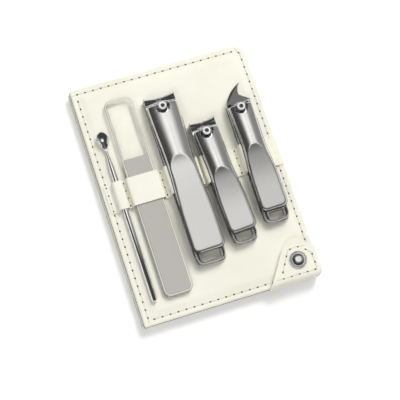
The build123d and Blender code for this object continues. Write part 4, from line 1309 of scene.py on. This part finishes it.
def cut_well(bm):
    """Round well for the pin and its throat to the front."""
    doomed = []
    for face in bm.faces:
        place = face.calc_center_median()
        if hypot(place.x, place.y - WELL_SHIFT) < WELL_RADIUS or (abs(place.x) < THROAT and place.y > 0):
            doomed.append(face)
    near = {vertex for face in doomed for vertex in face.verts}
    bmesh.ops.delete(bm, geom=doomed, context="FACES")
    for vertex in near:
        if not vertex.is_valid:
            continue
        away = Vector((vertex.co.x, vertex.co.y - WELL_SHIFT))
        if away.y > 0 and abs(away.x) < THROAT + LEVER_CELL and away.length > WELL_RADIUS - LEVER_CELL:
            vertex.co.x = THROAT if away.x > 0 else -THROAT
        else:
            away = away.normalized() * WELL_RADIUS
            vertex.co.x = away.x
            vertex.co.y = away.y + WELL_SHIFT


def lever_sheet(lever):
    """Crowned sheet of a lever with its recess, its rolled edges and the well for the pin."""
    bm = bmesh.new()
    length = LEVER_FRONT - lever.rear_y
    bmesh.ops.create_grid(
        bm, x_segments=2 * round(lever.rear / LEVER_CELL), y_segments=round(length / LEVER_CELL), size=0.5)
    bmesh.ops.scale(bm, vec=(2, length, 1), verts=bm.verts)
    bmesh.ops.translate(bm, vec=(0, lever.rear_y + length / 2, 0), verts=bm.verts)
    for vertex in bm.verts:
        half = lever.half_width(vertex.co.y)
        front = LEVER_FRONT - vertex.co.y < length / 2
        to_side = half * (1 - abs(vertex.co.x))
        to_end = LEVER_FRONT - vertex.co.y if front else vertex.co.y - lever.rear_y
        corner = LEVER_FRONT_CORNER if front else LEVER_CORNER
        to_side, to_end, distance = pull_in(to_side, to_end, corner)
        x = (half - to_side) * (1 if vertex.co.x > 0 else -1)
        y = LEVER_FRONT - to_end if front else lever.rear_y + to_end
        z = lever.height(x, y, half)
        vertex.co = (x, y, z - rolled_edge(distance, *lever.roll(y, z)))
    cut_well(bm)
    return bm


def lever_shell(lever):
    """Pressed shell of a lever: its sheet, the side walls and a narrow flange."""
    bm = lever_sheet(lever)

    def to_flange(point):
        point.z = lever.bottom + FLANGE_HEIGHT

    def outwards(point):
        if point.y < -WELL_RADIUS * 2:
            half = lever.half_width(point.y)
            point.x *= (half + FLANGE_OUT) / half
            point.y -= FLANGE_OUT * max(0.0, 1 - (point.y - lever.rear_y) / LEVER_CORNER)
        point.z -= FLANGE_OUT / 2

    def to_bottom(point):
        point.z = lever.bottom

    rim = open_edges(bm.edges)
    for move in (to_flange, outwards, to_bottom):
        made = bmesh.ops.extrude_edge_only(bm, edges=rim)
        for vertex in made_points(made):
            move(vertex.co)
        rim = open_edges(made_edges(made))
    face_up(bm)
    bmesh.ops.solidify(bm, geom=bm.faces[:], thickness=LEVER_WALL)
    return bm


class CASE_OT_levers(bpy.types.Operator):
    """Satin levers of the three clippers"""
    bl_idname = "case.levers"
    bl_label = "Levers"

    def execute(self, context):
        levers = (
            Lever("large", 14.4, 12.4, 14.0, 28.2, 23.3, 6.5),
            Lever("small", 12.4, 10.6, 11.4, 16.6, 17.6, 6.0),
            Lever("slanted", 12.2, 10.2, 11.0, 17.5, 18.0, 6.5))
        for lever in levers:
            bm = lever_shell(lever)
            bar = Matrix.Translation((0, BAR_FORWARD, lever.bottom + BAR_RISE))
            bmesh.ops.create_cone(
                bm, cap_ends=True, segments=24, radius1=BAR_RADIUS, radius2=BAR_RADIUS, depth=2 * BAR_HALF,
                matrix=bar @ Matrix.Rotation(pi / 2, 4, "Y"))
            bmesh.ops.transform(bm, matrix=lever.seat, verts=bm.verts)
            node = lever.name + "_lever"
            piece = finish_piece(bm, node + "_pressed", "satin", node, [node], sharp=50)
            # The recess floor takes the steel with painted shade, dark at the barrel and lighter towards the loop
            # end
            second_finish(piece, lever.name + "_recess", lever.in_recess)
            second_finish(piece, "rolled", lever.in_bar)
        return {"FINISHED"}


# Rings round the file's face, a dark line of painted shade on each side of a pale bevel of painted highlight:
# width, depth and the slot of the finish of each
FILE_CORNER = 3.0
FILE_RINGS = ((0.28, 0.16, 1), (0.44, 0.28, 2), (0.28, 0.16, 1))


def file_plate():
    """Glass plate with a pale bevel of painted highlight between two dark lines of painted shade; the etching is
    in its material.
    """
    fall = sum(depth for _, depth, _ in FILE_RINGS)
    bm = plate(FILE_LOW, FILE_HIGH - Vector((0, 0, fall)), FILE_CORNER, FILE_CORNER)
    top = max(bm.faces, key=lambda face: face.calc_center_median().z)
    for width, depth, slot in FILE_RINGS:
        made = bmesh.ops.inset_region(bm, faces=[top], thickness=width, depth=depth, use_even_offset=True)
        for face in made["faces"]:
            face.material_index = slot
    finish_piece(
        bm, "glass_file_plate", "file", "glass_file", ["glass_file"], sharp=12,
        more=("glass_line", "glass_bevel"))


PICK_SHOULDER_Y = 16.5
PICK_NECK_Y = 24.2
PICK_NECK_RADIUS = 0.62
PICK_FOOT_BEVEL = 0.5
# Plan of the scoop: place along Y and half the width
SCOOP_OUTLINE = (
    (24.0, 0.6), (25.4, 0.95), (26.8, 1.65), (28.2, 2.25), (29.6, 2.5), (31.0, 2.3), (32.2, 1.65), (32.95, 0.6))
SCOOP_WIDEST = 2.5
SCOOP_DEPTH = 1.25
SCOOP_RISE = 0.25
SCOOP_WALL = 0.4
SCOOP_COLUMNS = 16


def pick_scoop(centre_x, centre_z):
    """Spoon-shaped scoop at the head of the pick."""
    first, last = SCOOP_OUTLINE[0][0], SCOOP_OUTLINE[-1][0]
    rows = []
    for y, half in SCOOP_OUTLINE:
        along = (y - first) / (last - first)
        depth = SCOOP_DEPTH * sin(pi * min(1.0, along) ** 1.2) * half / SCOOP_WIDEST
        row = []
        for column in range(SCOOP_COLUMNS + 1):
            share = 2 * column / SCOOP_COLUMNS - 1
            z = centre_z + PICK_NECK_RADIUS + SCOOP_RISE * along - depth * (1 - share * share)
            row.append((centre_x + half * share, y, z))
        rows.append(row)
    bm = sheet(rows)
    bmesh.ops.subdivide_edges(bm, edges=bm.edges[:], cuts=1, smooth=1, use_grid_fill=True)
    bmesh.ops.solidify(bm, geom=bm.faces[:], thickness=SCOOP_WALL)
    bmesh.ops.recalc_face_normals(bm, faces=bm.faces)
    return bm


def ear_pick():
    """Round rod with a thin neck and a spoon-shaped scoop."""
    radius = (PICK_HIGH.z - PICK_LOW.z) / 2
    centre_x = (PICK_LOW.x + PICK_HIGH.x) / 2
    centre_z = PICK_LOW.z + radius
    foot = PICK_LOW.y
    line = ((foot, 0), (foot, radius - PICK_FOOT_BEVEL), (foot + PICK_FOOT_BEVEL, radius),
            (PICK_SHOULDER_Y, radius), (PICK_NECK_Y - 3, PICK_NECK_RADIUS + 0.12), (PICK_NECK_Y, PICK_NECK_RADIUS),
            (PICK_NECK_Y + 1.6, PICK_NECK_RADIUS * 0.8), (PICK_NECK_Y + 1.8, 0))
    points = [(centre_x + reach, y, centre_z) for y, reach in line]
    bm = turned(points, (centre_x, 0, centre_z), (0, 1, 0), 28)
    join(bm, pick_scoop(centre_x, centre_z))
    finish_piece(bm, "ear_pick_polished", "mirror", "ear_pick", ["ear_pick"], sharp=50)


class CASE_OT_small_tools(bpy.types.Operator):
    """Glass file and ear pick"""
    bl_idname = "case.small_tools"
    bl_label = "File and pick"

    def execute(self, context):
        file_plate()
        ear_pick()
        for node in ("panel_board", "cover_board"):
            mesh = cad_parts[node].data
            mesh.materials.clear()
            mesh.materials.append(finishes()["card"])
        return {"FINISHED"}


# Stage
FLOOR_DROP = 0.05
FLOOR_GLOW = 0.17
CAMERA_PATCH = (0.20, 0.153, 0.968)


def lamp(name, place, side, power, colour=(1, 1, 1)):
    """Soft square lamp that faces the case and isn't mirrored in its steel."""
    light = bpy.data.lights.new(name, "AREA")
    light.shape = "RECTANGLE"
    light.size = side
    light.size_y = side
    light.energy = power
    light.color = colour
    holder = bpy.data.objects.new(name, light)
    bpy.context.scene.collection.objects.link(holder)
    holder.location = place
    holder.rotation_euler = (-Vector(place)).to_track_quat("-Z", "Y").to_euler()
    holder.visible_glossy = False


def studio_world(scene):
    """Large soft light above and to the upper right, dim room at the left and the foot, dark camera."""
    stage = settings("stage")
    world = bpy.data.worlds.new("studio")
    scene.world = world
    world.use_nodes = True
    tree = world.node_tree
    axes = axis_values(tree, "Generated")
    heading = add_node(tree, "TexCoord").outputs["Generated"]
    camera = add_node(tree, "VectorMath", {0: heading, 1: CAMERA_PATCH}, operation="DOT_PRODUCT")
    above = step_node(tree, axes["X"], -0.30, 0.04)
    for share in (
            step_node(tree, axes["Y"], -0.36, 0.08), step_node(tree, axes["Y"], 0.34, 0.50, 1.0, 0.05),
            step_node(tree, axes["X"], 0.26, 0.60, 1.0, 0.16),
            step_node(tree, camera.outputs["Value"], 0.9955, 0.9980, 1.0, 0.0)):
        above = calculate(tree, "MULTIPLY", above, share)
    low_glow = calculate(tree, "MULTIPLY", step_node(tree, axes["Z"], 0.42, 0.24), 0.5)
    lit = calculate(tree, "MAXIMUM", above, low_glow)
    feed(tree, tree.nodes["Background"], {
        "Color": (1, 1, 1, 1), "Strength": remap(tree, lit, 0, 1, stage.room, stage.sky)})


def studio_floor(scene):
    """Pale floor that glows faintly towards the camera and keeps the case's shadow."""
    bm = bmesh.new()
    bmesh.ops.create_grid(bm, x_segments=2, y_segments=2, size=3.0)
    bmesh.ops.translate(bm, vec=(0, 0, -FLOOR_DROP * MM), verts=bm.verts)
    mesh = bpy.data.meshes.new("floor")
    bm.to_mesh(mesh)
    bm.free()
    material, tree, shader = new_material("white_floor")
    rays = add_node(tree, "LightPath").outputs
    seen = calculate(tree, "MAXIMUM", rays["Is Camera Ray"], rays["Is Glossy Ray"])
    seen = calculate(tree, "MAXIMUM", seen, rays["Is Transmission Ray"])
    feed(tree, shader, {
        "Base Color": (0.88, 0.88, 0.88, 1), "Roughness": 0.9, "Emission Color": (1, 1, 1, 1),
        "Emission Strength": calculate(tree, "MULTIPLY", seen, FLOOR_GLOW)})
    mesh.materials.append(material)
    piece = bpy.data.objects.new("floor", mesh)
    scene.collection.objects.link(piece)


def studio_camera(scene):
    """Camera at the photo's angle, turned about its own line and moved a little aside."""
    stage = settings("stage")
    camera = bpy.data.cameras.new("camera")
    camera.lens = stage.lens
    camera.sensor_width = 36
    outward = Vector((
        -sin(stage.swing) * cos(stage.tilt), -sin(stage.tilt), cos(stage.tilt) * cos(stage.swing)))
    across = Vector((0, 1, 0)).cross(outward).normalized()
    up = outward.cross(across)
    right = across * cos(stage.roll) + up * sin(stage.roll)
    upward = up * cos(stage.roll) - across * sin(stage.roll)
    place = outward * stage.distance + (right * stage.offset_x + upward * stage.offset_y) * MM
    place.z += LEAF_HIGH.z * MM
    turn = Matrix((right, upward, outward)).transposed().to_4x4()
    holder = bpy.data.objects.new("camera", camera)
    scene.collection.objects.link(holder)
    holder.matrix_world = Matrix.Translation(place) @ turn
    scene.camera = holder


class CASE_OT_stage(bpy.types.Operator):
    """Pale floor, soft lamps and the camera"""
    bl_idname = "case.stage"
    bl_label = "Stage"

    def execute(self, context):
        studio_floor(context.scene)
        studio_world(context.scene)
        lamp("key", (0.36, 0.42, 0.85), 0.45, 7.3, (1, 0.99, 0.97))
        lamp("fill", (-0.42, -0.46, 0.8), 0.5, 3.0)
        studio_camera(context.scene)
        context.scene.view_settings.view_transform = "Standard"
        return {"FINISHED"}


OPERATORS = (
    CASE_OT_leaf, CASE_OT_cover, CASE_OT_spine, CASE_OT_strap, CASE_OT_tab, CASE_OT_stitching,
    CASE_OT_snap, CASE_OT_clippers, CASE_OT_levers, CASE_OT_small_tools, CASE_OT_stage)
GROUPS = {"leather": CaseLeather, "thread": CaseThread, "steel": CaseSteel, "stage": CaseStage}


class CASE_PT_panel(bpy.types.Panel):
    """Settings of the case and the steps that make it"""
    bl_idname = "CASE_PT_panel"
    bl_label = "Manicure case"
    bl_space_type = "VIEW_3D"
    bl_region_type = "UI"
    bl_category = "Manicure case"

    def draw(self, context):
        for name, group in GROUPS.items():
            box = self.layout.box()
            box.label(text=name.capitalize())
            for field in group.__annotations__:
                box.prop(settings(name), field)
        for operator in OPERATORS:
            self.layout.operator(operator.bl_idname)


def register():
    for name, group in GROUPS.items():
        bpy.utils.register_class(group)
        setattr(bpy.types.Scene, "case_" + name, bpy.props.PointerProperty(type=group))
    for operator in OPERATORS:
        bpy.utils.register_class(operator)
    bpy.utils.register_class(CASE_PT_panel)


def unregister():
    bpy.utils.unregister_class(CASE_PT_panel)
    for operator in reversed(OPERATORS):
        bpy.utils.unregister_class(operator)
    for name, group in GROUPS.items():
        delattr(bpy.types.Scene, "case_" + name)
        bpy.utils.unregister_class(group)


def main():
    register()
    bpy.ops.case.leaf()
    bpy.ops.case.cover()
    bpy.ops.case.spine()
    bpy.ops.case.strap()
    bpy.ops.case.tab()
    bpy.ops.case.stitching()
    bpy.ops.case.snap()
    bpy.ops.case.clippers()
    bpy.ops.case.levers()
    bpy.ops.case.small_tools()
    bpy.ops.case.stage()


if __name__ == "__main__":
    main()
